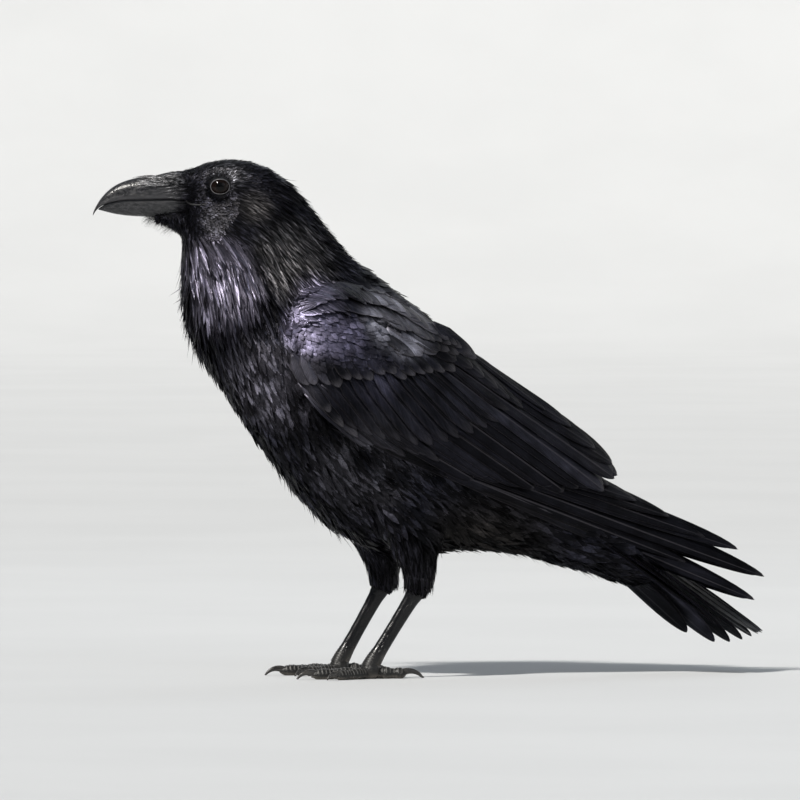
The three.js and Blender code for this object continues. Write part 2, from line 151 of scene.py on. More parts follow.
def makeLights():
    s = sunSettings
    middle = Vector((0, 0, lightsAimAt))
    sun = bpy.data.lights.new("key", "SUN")
    sun.energy = s["strength"]
    sun.angle = math.radians(s["angle"])
    sun.color = s["color"]
    spot = middle + around(s["azimuth"], s["elevation"], s["distance"])
    aim(linkObject(bpy.data.objects.new("key", sun)), spot, middle)
    for name, (azimuth, elevation, distance, size, watts, color) in lampSettings.items():
        lamp = bpy.data.lights.new(name, "AREA")
        lamp.shape = "DISK"
        lamp.size = size
        lamp.energy = watts
        lamp.color = color
        spot = middle + around(azimuth, elevation, distance)
        aim(linkObject(bpy.data.objects.new(name, lamp)), spot, middle)
    world = bpy.data.worlds.new("studio")
    world.use_nodes = True
    background = world.node_tree.nodes["Background"]
    background.inputs["Color"].default_value = (*worldGlow["color"], 1)
    background.inputs["Strength"].default_value = worldGlow["strength"]
    bpy.context.scene.world = world
    bpy.context.scene.view_settings.view_transform = "Standard"


def makeFloor():  # a level floor that curves up far away, all round, so no horizon shows
    s = floorSettings
    profile = [(radius, 0.0) for radius in s["flatRings"]]
    flat = s["flatRings"][-1]
    for i in range(1, s["steps"] + 1):
        turn = math.pi / 2 * i / s["steps"]
        reach = (s["wallRadius"] - flat) * math.sin(turn)
        profile.append((flat + reach, s["wallHeight"] * (1 - math.cos(turn))))
    mesh = bpy.data.meshes.new("floor")
    bm = bmesh.new()
    hub = bm.verts.new((0, 0, 0))
    rings = []
    for radius, height in profile:
        turns = [2 * math.pi * k / s["sides"] for k in range(s["sides"])]
        rings.append([bm.verts.new((radius * math.cos(t), radius * math.sin(t), height)) for t in turns])
    for k in range(s["sides"]):
        n = (k + 1) % s["sides"]
        bm.faces.new((hub, rings[0][k], rings[0][n]))
        for inner, outer in zip(rings, rings[1:]):
            bm.faces.new((inner[k], outer[k], outer[n], inner[n]))
    bm.to_mesh(mesh)
    bm.free()
    mesh.shade_smooth()
    floor = linkObject(bpy.data.objects.new("floor", mesh))
    mesh.materials.append(floorMaterial())
    floor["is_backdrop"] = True


# nodes of materials and of the coat
def setInputs(tree, node, inputs):  # by number, or by name among those on show; outputs are linked
    for key, value in inputs.items():
        shown = (s for s in node.inputs if s.enabled and s.name == key)
        socket = node.inputs[key] if isinstance(key, int) else next(shown)
        if isinstance(value, bpy.types.NodeSocket):
            tree.links.new(value, socket)
        else:
            socket.default_value = value


def addNode(tree, kind, inputs=None, **settings):
    node = tree.nodes.new(kind)
    for key, value in settings.items():
        setattr(node, key, value)
    setInputs(tree, node, inputs or {})
    return node


def outputOf(node):  # the one output that is on show
    return next(s for s in node.outputs if s.enabled)


def mathNode(tree, operation, first, second=0.0, third=0.0, clamp=False):
    inputs = {0: first, 1: second, 2: third}
    return addNode(tree, "ShaderNodeMath", inputs, operation=operation, use_clamp=clamp).outputs[0]


def mixColor(tree, share, first, second, blend="MIX"):
    first, second = ((*color, 1) if isinstance(color, tuple) else color for color in (first, second))
    inputs = {"Factor": share, "A": first, "B": second}
    return outputOf(addNode(tree, "ShaderNodeMix", inputs, data_type="RGBA", blend_type=blend))


def shaded(tree, color, gain):  # a colour made lighter or darker by a number
    grey = addNode(tree, "ShaderNodeCombineColor", {0: gain, 1: gain, 2: gain}).outputs[0]
    return mixColor(tree, 1.0, color, grey, "MULTIPLY")


def mapRange(tree, value, fromLow, fromHigh, toLow=0.0, toHigh=1.0, kind="SMOOTHSTEP"):
    inputs = {"Value": value, "From Min": fromLow, "From Max": fromHigh, "To Min": toLow, "To Max": toHigh}
    return addNode(tree, "ShaderNodeMapRange", inputs, interpolation_type=kind).outputs[0]


def attribute(tree, name):
    return addNode(tree, "ShaderNodeAttribute", attribute_name=name).outputs["Fac"]


def objectCoords(tree):
    return addNode(tree, "ShaderNodeTexCoord").outputs["Object"]


def noise(tree, coords, scale, detail):
    inputs = {"Vector": coords, "Scale": scale, "Detail": detail}
    return addNode(tree, "ShaderNodeTexNoise", inputs).outputs[0]


def addBump(tree, shader, height, strength, distance):
    inputs = {"Height": height, "Strength": strength, "Distance": distance}
    tree.links.new(addNode(tree, "ShaderNodeBump", inputs).outputs[0], shader.inputs["Normal"])


def newMaterial(name):
    material = bpy.data.materials.new(name)
    material.use_nodes = True
    tree = material.node_tree
    return material, tree, tree.nodes["Principled BSDF"]


def newGroup(name, inputs, outputs):
    group = bpy.data.node_groups.new(name, "ShaderNodeTree")
    for label, default in inputs.items():
        socket = group.interface.new_socket(label, in_out="INPUT", socket_type="NodeSocketFloat")
        socket.default_value = default
    for label, kind in outputs.items():
        group.interface.new_socket(label, in_out="OUTPUT", socket_type="NodeSocket" + kind)
    return group, group.nodes.new("NodeGroupInput"), group.nodes.new("NodeGroupOutput")


# gloss colours by place on the bird, with some patches of painted shade: middle and reach in millimetres,
# colour, and how much it takes over
markings = {
    "throat": ((170, 24, 292), 44, (0.2, 0.185, 0.245), 0.92),
    "throatFront": ((193, 0, 280), 28, (0.02, 0.02, 0.026), 0.85),
    "neckSide": ((112, 34, 312), 42, (0.074, 0.071, 0.075), 0.95),
    "breast": ((132, 42, 222), 46, (0.1, 0.095, 0.118), 0.9),
    "shoulder": ((106, 54, 262), 28, (0.19, 0.175, 0.26), 1.0),
    "shoulderBack": ((82, 58, 256), 26, (0.1, 0.092, 0.14), 0.9),
    "plumes": ((98, 44, 286), 26, (0.13, 0.12, 0.17), 0.95),
    "upperWing": ((36, 38, 266), 38, (0.27, 0.264, 0.31), 0.9),
    # painted shade: a darker gloss patch that dims the sun's glint on the inner scapulars
    "paintedShadeOnScapulars": ((36, 45, 255), 18, (0.05, 0.049, 0.058), 0.95),
    "coverts": ((60, 60, 226), 30, (0.03, 0.029, 0.044), 0.85),
    "face": ((170, 23, 343), 16, (0.023, 0.023, 0.028), 0.85),
    "crown": ((160, 14, 384), 24, (0.05, 0.05, 0.056), 0.85),
    "ear": ((140, 28, 354), 20, (0.046, 0.043, 0.043), 0.85),
    "nasal": ((212, 6, 372), 27, (0.16, 0.16, 0.168), 0.95),
    "lore": ((179, 17, 367), 11, (0.003, 0.003, 0.004), 0.97),
    "underEye": ((156, 24, 356), 9, (0.005, 0.005, 0.006), 0.9),
    "flank": ((64, 44, 160), 52, (0.036, 0.035, 0.042), 0.8),
    # painted shadow: near-black patches on the flank and the wing's lower edge, where the wing shades the
    # body
    "paintedShadowUnderWingTop": ((112, 38, 208), 17, (0.002, 0.002, 0.003), 0.95),
    "paintedShadowUnderWing": ((90, 40, 182), 17, (0.002, 0.002, 0.003), 0.95),
    "paintedShadowUnderWingLow": ((63, 42, 164), 16, (0.002, 0.002, 0.003), 0.95),
    "paintedShadowUnderWingEnd": ((38, 44, 151), 14, (0.003, 0.003, 0.004), 0.9),
    "vent": ((-30, 10, 88), 80, (0.009, 0.008, 0.0072), 0.9),
}
markingCore = 0.35  # share of the reach within which a marking is at its full strength
plumageColor = (0.009, 0.009, 0.0128)
paleEdge = (0.15, 0.14, 0.155)


def plumageTintGroup():  # the gloss colour of skin and coat alike, the same on both sides
    group, _, ends = newGroup("plumage tint", {}, {"Color": "Color"})
    coords = objectCoords(group)
    axes = addNode(group, "ShaderNodeSeparateXYZ", {0: coords}).outputs
    folded = {"X": mathNode(group, "ABSOLUTE", axes["X"]), "Y": axes["Y"], "Z": axes["Z"]}
    folded = addNode(group, "ShaderNodeCombineXYZ", folded).outputs[0]
    color = plumageColor
    for middle, reach, tint, share in markings.values():
        points = {0: folded, 1: place(*middle)}
        distance = addNode(group, "ShaderNodeVectorMath", points, operation="DISTANCE").outputs["Value"]
        near = mapRange(group, distance, reach * mm, markingCore * reach * mm, 0, share)
        color = mixColor(group, near, color, tint)
    mottle = mapRange(group, noise(group, coords, 55.0, 3.0), 0.3, 0.7, 0.5, 1.55, "LINEAR")
    group.links.new(shaded(group, color, mottle), ends.inputs[0])
    return group


def barbsGroup():  # fine oblique streaks of a vane's barbs, its worn rim and its shaft
    inputs = {"Fineness": 60.0, "Slant": 0.7, "Rim Start": 0.7, "Tip Start": 0.84}
    group, starts, ends = newGroup("barbs", inputs, {"Streak": "Float", "Edge": "Float", "Shaft": "Float"})
    along, across, shade = (attribute(group, name) for name in ("along", "across", "shade"))
    outward = mathNode(group, "ABSOLUTE", across)
    slanted = mathNode(group, "MULTIPLY", outward, starts.outputs["Slant"])
    leaning = mathNode(group, "MULTIPLY_ADD", slanted, -0.3, along)
    line = {
        "X": mathNode(group, "MULTIPLY", leaning, starts.outputs["Fineness"]),
        "Y": mathNode(group, "MULTIPLY", across, 1.2),
        "Z": mathNode(group, "MULTIPLY", shade, 91.0),  # another stretch of the noise for each feather
    }
    streak = noise(group, addNode(group, "ShaderNodeCombineXYZ", line).outputs[0], 1.0, 2.0)
    sides = mapRange(group, outward, starts.outputs["Rim Start"], 1.0)
    tip = mapRange(group, along, starts.outputs["Tip Start"], 1.0)
    group.links.new(streak, ends.inputs["Streak"])
    group.links.new(mathNode(group, "MAXIMUM", sides, tip), ends.inputs["Edge"])
    group.links.new(mapRange(group, outward, 0.035, 0.09, 1, 0), ends.inputs["Shaft"])
    return group


# how each kind of plumage takes the light
featherFinishes = {
    "silky": {"rough": 0.33, "metallic": 0.85, "fineness": 30, "streaks": 0.7, "spread": 1.3, "bump": 0.4,
              "rim": 0.12, "rimStart": 0.6, "tipStart": 0.84, "shaft": 0.0, "pale": 0.6},
    "bright": {"rough": 0.34, "metallic": 0.8, "fineness": 9, "streaks": 0.5, "spread": 1.3, "bump": 0.4,
               "rim": 0.75, "rimStart": 0.8, "tipStart": 0.55, "shaft": 0.0, "pale": 0.16},
    "bristly": {"rough": 0.4, "metallic": 0.75, "fineness": 8, "streaks": 0.5, "spread": 1.7, "bump": 0.3,
                "rim": 0.0, "rimStart": 0.5, "tipStart": 0.84, "shaft": 0.0, "pale": 0.3},
    "sleek": {"rough": 0.36, "metallic": 0.85, "fineness": 36, "streaks": 0.75, "spread": 0.7, "bump": 0.5,
              "rim": 0.2, "rimStart": 0.7, "tipStart": 0.8, "shaft": 0.1, "pale": 0.6},
    "firm": {"rough": 0.46, "metallic": 0.85, "fineness": 44, "streaks": 0.6, "spread": 0.6, "bump": 0.35,
             "rim": 0.22, "rimStart": 0.75, "tipStart": 0.8, "shaft": 0.12, "pale": 0.6},
    "edged": {"rough": 0.42, "metallic": 0.75, "fineness": 44, "streaks": 0.5, "spread": 1.0, "bump": 0.35,
              "rim": 0.65, "rimStart": 0.8, "tipStart": 0.74, "shaft": 0.1, "pale": 0.6},
    "quill": {"rough": 0.38, "metallic": 0.8, "fineness": 170, "streaks": 0.55, "spread": 0.9, "bump": 0.4,
              "rim": 0.32, "rimStart": 0.9, "tipStart": 0.97, "shaft": 0.4, "pale": 0.6},
    "soft": {"rough": 0.42, "metallic": 0.75, "fineness": 20, "streaks": 0.8, "spread": 1.35, "bump": 0.45,
             "rim": 0.1, "rimStart": 0.5, "tipStart": 0.84, "shaft": 0.0, "pale": 0.6},
}


def featherMaterial(name):  # its first word names the finish
    s = featherFinishes[name.split(" ")[0]]
    material, tree, shader = newMaterial(name)
    color = addNode(tree, "ShaderNodeGroup", node_tree=shared["tint"]).outputs["Color"]
    inputs = {"Fineness": float(s["fineness"]), "Rim Start": s["rimStart"], "Tip Start": s["tipStart"]}
    barbs = addNode(tree, "ShaderNodeGroup", inputs, node_tree=shared["barbs"]).outputs
    glint = mathNode(tree, "POWER", attribute(tree, "shade"), 3.0)  # a few feathers are much lighter
    light = mathNode(tree, "MULTIPLY_ADD", glint, 2 * s["spread"], 1 - 0.5 * s["spread"])
    streaks = mapRange(tree, barbs["Streak"], 0.25, 0.75, 1 - s["streaks"], 1 + s["streaks"], "LINEAR")
    color = shaded(tree, color, mathNode(tree, "MULTIPLY", light, streaks))
    rim = mathNode(tree, "MULTIPLY", streaks, s["rim"])
    worn = mathNode(tree, "MULTIPLY", barbs["Edge"], rim, clamp=True)
    worn = mathNode(tree, "MAXIMUM", worn, mathNode(tree, "MULTIPLY", barbs["Shaft"], s["shaft"]))
    pale = mixColor(tree, s["pale"], color, paleEdge)
    rough = mapRange(tree, barbs["Streak"], 0.2, 0.8, s["rough"] + 0.1, s["rough"] - 0.08, "LINEAR")
    setInputs(tree, shader, {
        "Base Color": mixColor(tree, worn, color, pale), "Roughness": rough,
        "Metallic": s["metallic"], "Specular IOR Level": 0.2,
    })
    addBump(tree, shader, barbs["Streak"], s["bump"], 0.0004)
    return material


def skinMaterial():  # the same markings as the coat, darker, with a fine grain
    material, tree, shader = newMaterial("bare skin")
    grain = noise(tree, objectCoords(tree), 900.0, 2.0)
    tint = addNode(tree, "ShaderNodeGroup", node_tree=shared["tint"]).outputs["Color"]
    color = shaded(tree, tint, mapRange(tree, grain, 0.3, 0.7, 0.15, 0.4))
    setInputs(tree, shader, {"Base Color": color, "Roughness": 0.8, "Specular IOR Level": 0.1})
    addBump(tree, shader, grain, 0.3, 0.0004)
    return material


def floorMaterial():
    material, tree, shader = newMaterial("studio floor")
    grain = mapRange(tree, noise(tree, objectCoords(tree), 3.0, 6.0), 0.3, 0.7)
    color = mixColor(tree, grain, (0.57, 0.58, 0.59), (0.59, 0.6, 0.61))
    setInputs(tree, shader, {"Base Color": color, "Roughness": 0.85})
    return material


# one skin under the coat
skinSettings = {
    "body": ["head", "eye_left", "eye_right", "neck", "trunk", "thigh_left", "thigh_right"],
    "wings": [["wing_left_coverts"], ["wing_right_coverts"]],
    "swell": 0.6,  # closes the thin cuts between the solids
    "voxel": 2.2, "smoothing": 8,
    "faceDepth": 1.1, "bodyDepth": 4.0,  # how far it lies inside the solids
    "faceMiddle": (180, 0, 358), "faceReach": (18, 85),
    "eyeDepth": 1.7, "eyeReach": (10.5, 8),  # more, round the eyes
    "heelDepth": 1.2, "heelUp": (95, 66), "heelSide": (8, 14),
    "wingDepth": 3.4, "wingEvening": 6,
    "wingShares": (0.72, 0.1),  # most that its outer and inner face sink, as shares of its thickness
    # the nose thins out, to end under the bill's horn, and does so farther ahead at the chin
    "nose": {"middle": 366, "reach": (196, 219), "share": 0.4, "chinUp": (360, 352), "chinStart": 12},
    # where the thighs leave the flanks
    "creases": {"spot": (32, 128), "reach": 38, "core": 0.4, "rounds": 70},
    "unwrap": {"angle": 66, "margin": 0.002},
}


def newMesh(name, vertices, faces):
    mesh = bpy.data.meshes.new(name)
    mesh.from_pydata(np.asarray(vertices).tolist(), [], faces)
    mesh.update()
    return mesh


def readVectors(rows, field):
    values = np.empty(len(rows) * 3, np.float32)
    rows.foreach_get(field, values)
    return values.reshape(-1, 3).astype(float)


def pointsOf(mesh):
    return readVectors(mesh.vertices, "co")


def normalsOf(mesh):
    return readVectors(mesh.vertex_normals, "vector")


def surfaceTree(mesh):
    return BVHTree.FromPolygons([v.co for v in mesh.vertices], [tuple(p.vertices) for p in mesh.polygons])


def movePoints(mesh, points):
    mesh.vertices.foreach_set("co", np.asarray(points, np.float32).ravel())
    mesh.update()


def storeAttribute(mesh, name, values, kind="FLOAT"):
    found = mesh.attributes.new(name, kind, "POINT")
    found.data.foreach_set("value" if kind == "FLOAT" else "vector", np.asarray(values, np.float32).ravel())


def readAttribute(mesh, name):
    return np.array([entry.value for entry in mesh.attributes[name].data])


def mendMesh(mesh, gap, sliver=None):  # closes its seams and turns its faces outwards
    bm = bmesh.new()
    bm.from_mesh(mesh)
    bmesh.ops.remove_doubles(bm, verts=bm.verts, dist=gap)
    if sliver:
        bmesh.ops.dissolve_degenerate(bm, dist=sliver, edges=bm.edges)
    bmesh.ops.recalc_face_normals(bm, faces=bm.faces)
    bm.to_mesh(mesh)
    bm.free()


def joinNodes(names, name):  # a copy of some CAD nodes as one mesh, its loose triangles merged
    bm = bmesh.new()
    for node in names:
        bm.from_mesh(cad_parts[node].data)
    bmesh.ops.remove_doubles(bm, verts=bm.verts, dist=1e-6)
    mesh = bpy.data.meshes.new(name)
    bm.to_mesh(mesh)
    bm.free()
    return mesh


def bakeModifiers(obj):  # the object's mesh as its modifiers leave it
    depsgraph = bpy.context.evaluated_depsgraph_get()
    mesh = bpy.data.meshes.new_from_object(obj.evaluated_get(depsgraph), depsgraph=depsgraph)
    obj.modifiers.clear()
    obj.data = mesh


def roundedShell(nodes):  # some CAD nodes as one smooth closed mesh
    s = skinSettings
    mesh = joinNodes(nodes, "shell")
    movePoints(mesh, pointsOf(mesh) + normalsOf(mesh) * s["swell"] * mm)
    shell = linkObject(bpy.data.objects.new("shell", mesh))
    remesh = shell.modifiers.new("one surface", "REMESH")
    remesh.mode = "VOXEL"
    remesh.voxel_size = s["voxel"] * mm
    smooth = shell.modifiers.new("smooth", "SMOOTH")
    smooth.factor = 0.5
    smooth.iterations = s["smoothing"]
    bakeModifiers(shell)
    rounded = shell.data
    bpy.data.objects.remove(shell)
    return rounded


def evened(mesh, values, rounds):  # values on the points, averaged with their neighbours
    edges = np.empty(len(mesh.edges) * 2, np.int32)
    mesh.edges.foreach_get("vertices", edges)
    count = len(values)
    a, b = edges.reshape(-1, 2).T
    neighbours = np.bincount(a, minlength=count) + np.bincount(b, minlength=count)
    for _ in range(rounds):
        sums = np.bincount(a, values[b], count) + np.bincount(b, values[a], count)
        values = 0.5 * values + 0.5 * sums / neighbours
    return values


def wingDepths(shell, points, normals):  # the outer face sinks by the coat's depth, the inner one hardly
    s = skinSettings
    tree = surfaceTree(shell)
    depths = np.zeros(len(points))
    for i, (point, normal) in enumerate(zip(points, normals)):
        inside = Vector(point - normal * 1e-5)
        thick = (tree.ray_cast(inside, Vector(-normal))[3] or 0) / mm
        outer = normal[0] * np.sign(point[0]) > 0
        depths[i] = min(s["wingDepth"], thick * s["wingShares"][0 if outer else 1])
    return evened(shell, depths, s["wingEvening"])


def makeSkin():
    s = skinSettings
    bm = bmesh.new()
    for nodes in (s["body"], *s["wings"]):
        shell = roundedShell(nodes)
        points, normals = pointsOf(shell), normalsOf(shell)
        _, side, up = measure(points)
        if nodes is s["body"]:
            smoothCreases(shell, points)
            normals = normalsOf(shell)
            points = thinNose(points)
            fromFace = np.linalg.norm(points - place(*s["faceMiddle"]), axis=1) / mm
            away = smoothStep(*s["faceReach"], fromFace)
            depth = s["faceDepth"] + (s["bodyDepth"] - s["faceDepth"]) * away
            depth += s["eyeDepth"] * smoothStep(*s["eyeReach"], fromEyes(points)[0])
            change = (s["heelDepth"] - depth) * smoothStep(*s["heelUp"], up)
            depth += change * smoothStep(*s["heelSide"], np.abs(side))
        else:
            depth = wingDepths(shell, points, normals)
        movePoints(shell, points - normals * ((depth + s["swell"]) * mm)[:, None])
        storeAttribute(shell, "onWing", np.full(len(points), float(nodes is not s["body"])))
        bm.from_mesh(shell)
    mesh = bpy.data.meshes.new("skin")
    bm.to_mesh(mesh)
    bm.free()
    skin = linkObject(bpy.data.objects.new("skin", mesh))
    mesh.materials.append(skinMaterial())
    mesh.shade_smooth()
    unwrapSkin(skin)
    groomSkin(mesh)
    print(f"skin: {len(mesh.vertices)} points")
    return skin


def smoothCreases(shell, points):  # moves the shell's points and their array alike
    s = skinSettings["creases"]
    forward, up = s["spot"]
    near = np.linalg.norm((points - place(forward, 0, up))[:, 1:], axis=1) / mm
    soft = np.stack([evened(shell, points[:, axis], s["rounds"]) for axis in range(3)], axis=1)
    points += (soft - points) * smoothStep(s["reach"], s["core"] * s["reach"], near)[:, None]
    movePoints(shell, points)


def thinNose(points):  # draws the front of the face in towards the bill's middle line
    s = skinSettings["nose"]
    forward, side, up = measure(points)
    ahead = forward - birdFrame["neckAxisForward"]
    line = ahead * math.tan(math.radians(birdFrame["headTurn"]))
    start = s["reach"][0] + s["chinStart"] * smoothStep(*s["chinUp"], up)
    share = s["share"] * smoothStep(start, s["reach"][1], forward)
    return place(forward, side + (line - side) * share, up + (s["middle"] - up) * share)


def fromEyes(points):  # distance from the nearer eye's axis, and the way out from it
    forward, side, up = eyeSettings["middle"]
    far = 99.0
    nearest, way = np.full(len(points), far), np.zeros((len(points), 3))
    for sign in (1, -1):
        middle = turned(place(forward, sign * side, up), 1.0)
        outward = unit(turned(place(forward, sign * (side + 10), up), 1.0) - middle)
        offset = (points - middle) / mm
        level = offset @ outward
        offset -= level[:, None] * outward
        reach = np.where(level > 0, np.linalg.norm(offset, axis=1), far)
        way = np.where((reach < nearest)[:, None], unit(offset + 1e-9), way)
        nearest = np.minimum(nearest, reach)
    return nearest, way


def unwrapSkin(skin):
    skin.data.uv_layers.new(name="OFBake")
    bpy.context.view_layer.objects.active = skin
    skin.select_set(True)
    bpy.ops.object.mode_set(mode="EDIT")
    bpy.ops.mesh.select_all(action="SELECT")
    s = skinSettings["unwrap"]
    bpy.ops.uv.smart_project(angle_limit=math.radians(s["angle"]), island_margin=s["margin"])
    bpy.ops.object.mode_set(mode="OBJECT")
    skin.select_set(False)


# the lie of the coat: for each coat, its guide feathers' place, direction and size, mirrored to the
# other side. A coat may recur, and the nameless one stays bare, under the large feathers of the wing.
groom = [
    ("face", [
        ((186, 10, 380), (-1, 0, 0.5), 0.7), ((186, 17, 366), (-1, 0.2, 0.1), 0.6),
        ((172, 19, 382), (-1, 0.1, 0.2), 0.8), ((176, 20, 352), (-0.8, 0.1, -0.5), 0.8),
        ((160, 23, 381), (-1, 0.1, 0), 0.9), ((158, 24, 355), (-0.9, 0.1, -0.4), 1.0),
        ((184, 18, 345), (-0.6, 0.1, -0.7), 0.8), ((168, 23, 340), (-0.7, 0.1, -0.7), 1.1)]),
    ("crown", [
        ((165, 5, 389), (-1, 0, 0.2), 0.8), ((146, 6, 391), (-1, 0, -0.05), 1.0),
        ((145, 20, 383), (-1, 0, -0.1), 1.0), ((124, 6, 385), (-0.9, 0, -0.4), 1.3)]),
    ("ear", [
        ((146, 26, 366), (-0.95, 0.1, -0.3), 0.9), ((144, 28, 350), (-0.85, 0.1, -0.5), 1.1),
        ((150, 28, 336), (-0.75, 0.1, -0.65), 1.1)]),
    ("crown", [
        ((122, 24, 372), (-0.85, 0.1, -0.5), 1.2)]),
    ("nape", [
        ((104, 8, 368), (-0.65, 0, -0.76), 0.9), ((88, 10, 349), (-0.6, 0, -0.8), 1.0),
        ((70, 12, 327), (-0.65, 0, -0.76), 1.1), ((100, 26, 352), (-0.6, 0.1, -0.8), 0.9),
        ((80, 32, 325), (-0.6, 0.1, -0.8), 1.0), ((122, 30, 342), (-0.55, 0.1, -0.8), 0.9),
        ((112, 34, 318), (-0.45, 0.1, -0.9), 1.0), ((98, 38, 298), (-0.5, 0.1, -0.85), 1.1),
        ((132, 32, 318), (-0.3, 0.1, -0.95), 1.0), ((124, 36, 290), (-0.3, 0.1, -0.95), 1.1)]),
    ("chin", [
        ((206, 6, 342), (-0.6, 0, -0.5), 0.8), ((196, 6, 334), (-0.45, 0, -0.85), 1.0),
        ((190, 14, 335), (-0.5, 0.1, -0.85), 0.9)]),
    ("throat", [
        ((190, 4, 314), (-0.05, 0, -1), 0.8), ((176, 20, 318), (-0.2, 0.1, -0.98), 0.8),
        ((156, 27, 318), (-0.25, 0.1, -0.97), 0.75), ((190, 4, 290), (0, 0, -1), 1.0),
        ((172, 24, 294), (-0.1, 0.1, -1), 1.0), ((150, 31, 294), (-0.2, 0.1, -0.98), 1.0),
        ((188, 5, 262), (-0.2, 0, -0.98), 1.0), ((168, 30, 262), (-0.22, 0.1, -0.97), 1.0)]),
    ("breast", [
        ((176, 6, 232), (-0.4, 0, -0.92), 0.85), ((142, 38, 262), (-0.3, 0.1, -0.95), 0.8),
        ((150, 36, 236), (-0.4, 0.1, -0.9), 0.9), ((158, 6, 205), (-0.52, 0, -0.85), 1.0),
        ((132, 44, 215), (-0.45, 0.1, -0.88), 1.0), ((128, 40, 190), (-0.55, 0, -0.83), 1.0),
        ((124, 46, 240), (-0.35, 0.1, -0.93), 0.9)]),
    ("flank", [
        ((136, 6, 178), (-0.6, 0, -0.8), 1.0), ((108, 46, 178), (-0.6, 0, -0.8), 1.0),
        ((110, 8, 146), (-0.68, 0, -0.73), 1.0), ((84, 46, 150), (-0.7, 0, -0.7), 1.0),
        ((84, 8, 118), (-0.75, 0, -0.65), 1.0), ((60, 44, 130), (-0.8, 0, -0.6), 1.0),
        ((40, 50, 190), (-0.75, 0, -0.65), 1.0), ((20, 44, 120), (-0.9, 0, -0.4), 0.9)]),
    ("back", [
        ((46, 12, 305), (-0.78, 0, -0.6), 0.8), ((16, 12, 283), (-0.77, 0, -0.63), 0.9),
        ((-20, 12, 250), (-0.72, 0, -0.7), 1.0), ((-62, 10, 208), (-0.72, 0, -0.7), 1.1),
        ((-105, 8, 166), (-0.74, 0, -0.67), 1.2), ((-145, 6, 128), (-0.76, 0, -0.65), 1.3),
        ((48, 32, 296), (-0.8, 0, -0.6), 0.8), ((-40, 36, 190), (-0.75, 0, -0.65), 1.0)]),
    ("vent", [
        ((40, 8, 95), (-0.97, 0, -0.2), 0.8), ((0, 8, 91), (-1, 0, -0.1), 0.9),
        ((-45, 8, 93), (-1, 0, -0.05), 1.0), ((-90, 8, 87), (-0.97, 0, -0.22), 1.1),
        ((-130, 6, 75), (-0.95, 0, -0.3), 1.2), ((-30, 36, 118), (-0.92, 0, -0.4), 1.0),
        ((-80, 28, 112), (-0.9, 0, -0.42), 1.1), ((-20, 44, 140), (-0.85, 0, -0.5), 1.0)]),
    ("thigh", [
        ((30, 50, 112), (-0.2, 0, -1), 1.0), ((26, 51, 92), (-0.1, 0, -1), 0.8),
        ((22, 45, 76), (-0.05, 0, -1), 0.6), ((26, 17, 92), (-0.1, 0, -1), 0.8),
        ((52, 33, 100), (-0.3, 0, -0.95), 0.9), ((2, 33, 96), (0.05, 0, -1), 0.8)]),
    ("nasal", [
        ((189, 6, 381), (0.95, 0, 0.05), 0.9), ((191, 13, 373), (1, 0.05, -0.06), 1.0),
        ((204, 5, 378), (1, 0, -0.08), 1.0), ((206, 12, 371), (1, 0, -0.1), 1.0),
        ((220, 4, 376), (1, 0, -0.2), 0.9), ((192, 15, 364), (1, 0.05, -0.1), 0.7)]),
    ("chin", [
        ((216, 3, 344), (0.5, 0, -0.6), 0.8), ((204, 9, 346), (0.2, 0.1, -0.8), 0.8)]),
    ("wing", [
        ((121, 50, 268), (-0.3, 0, -0.95), 0.7), ((112, 50, 284), (-0.85, 0, -0.5), 0.8),
        ((121, 57, 246), (-0.3, 0, -0.95), 0.75), ((116, 60, 231), (-0.5, 0, -0.86), 0.75),
        ((100, 58, 262), (-0.7, 0, -0.7), 0.85), ((70, 60, 272), (-0.74, 0, -0.66), 0.95),
        ((88, 64, 250), (-0.7, 0, -0.7), 0.95), ((60, 62, 255), (-0.74, 0, -0.66), 1.05),
        ((30, 60, 256), (-0.76, 0, -0.64), 1.1)]),
    ("", [
        ((40, 44, 284), (-0.8, 0, -0.6), 1.0), ((72, 46, 290), (-0.8, 0, -0.6), 1.0),
        ((12, 42, 270), (-0.8, 0, -0.6), 1.0), ((104, 62, 220), (-0.7, 0, -0.7), 1.0),
        ((90, 62, 228), (-0.7, 0, -0.7), 1.0), ((60, 64, 226), (-0.7, 0, -0.7), 1.0),
        ((30, 62, 228), (-0.7, 0, -0.7), 1.0), ((90, 62, 200), (-0.7, 0, -0.7), 1.0),
        ((55, 62, 195), (-0.7, 0, -0.7), 1.0), ((20, 60, 190), (-0.7, 0, -0.7), 1.0),
        ((40, 62, 210), (-0.7, 0, -0.7), 1.0)]),
]
guides = [(coat, *guide) for coat, rows in groom for guide in rows]
groomSettings = {
    "step": 8,  # how far ahead of a guide's place its direction is read
    "nearest": 2, "falloff": 4,  # added to the distance, and the power by which a guide grows weaker
    "border": (0.45, 0.8),  # share of the strongest coat at which another one starts, and is whole
}


def guideLines(sign):  # start and direction of every guide on one side, as if on the left one
    s = groomSettings
    starts = np.array([spot for _, spot, _, _ in guides], float) * (1, sign, 1)
    ends = starts + np.array([lie for _, _, lie, _ in guides]) * (1, sign, 1) * s["step"]
    starts, ends = (turned(place(*spots.T)) * (sign, 1, 1) for spots in (starts, ends))
    return starts, ends - starts


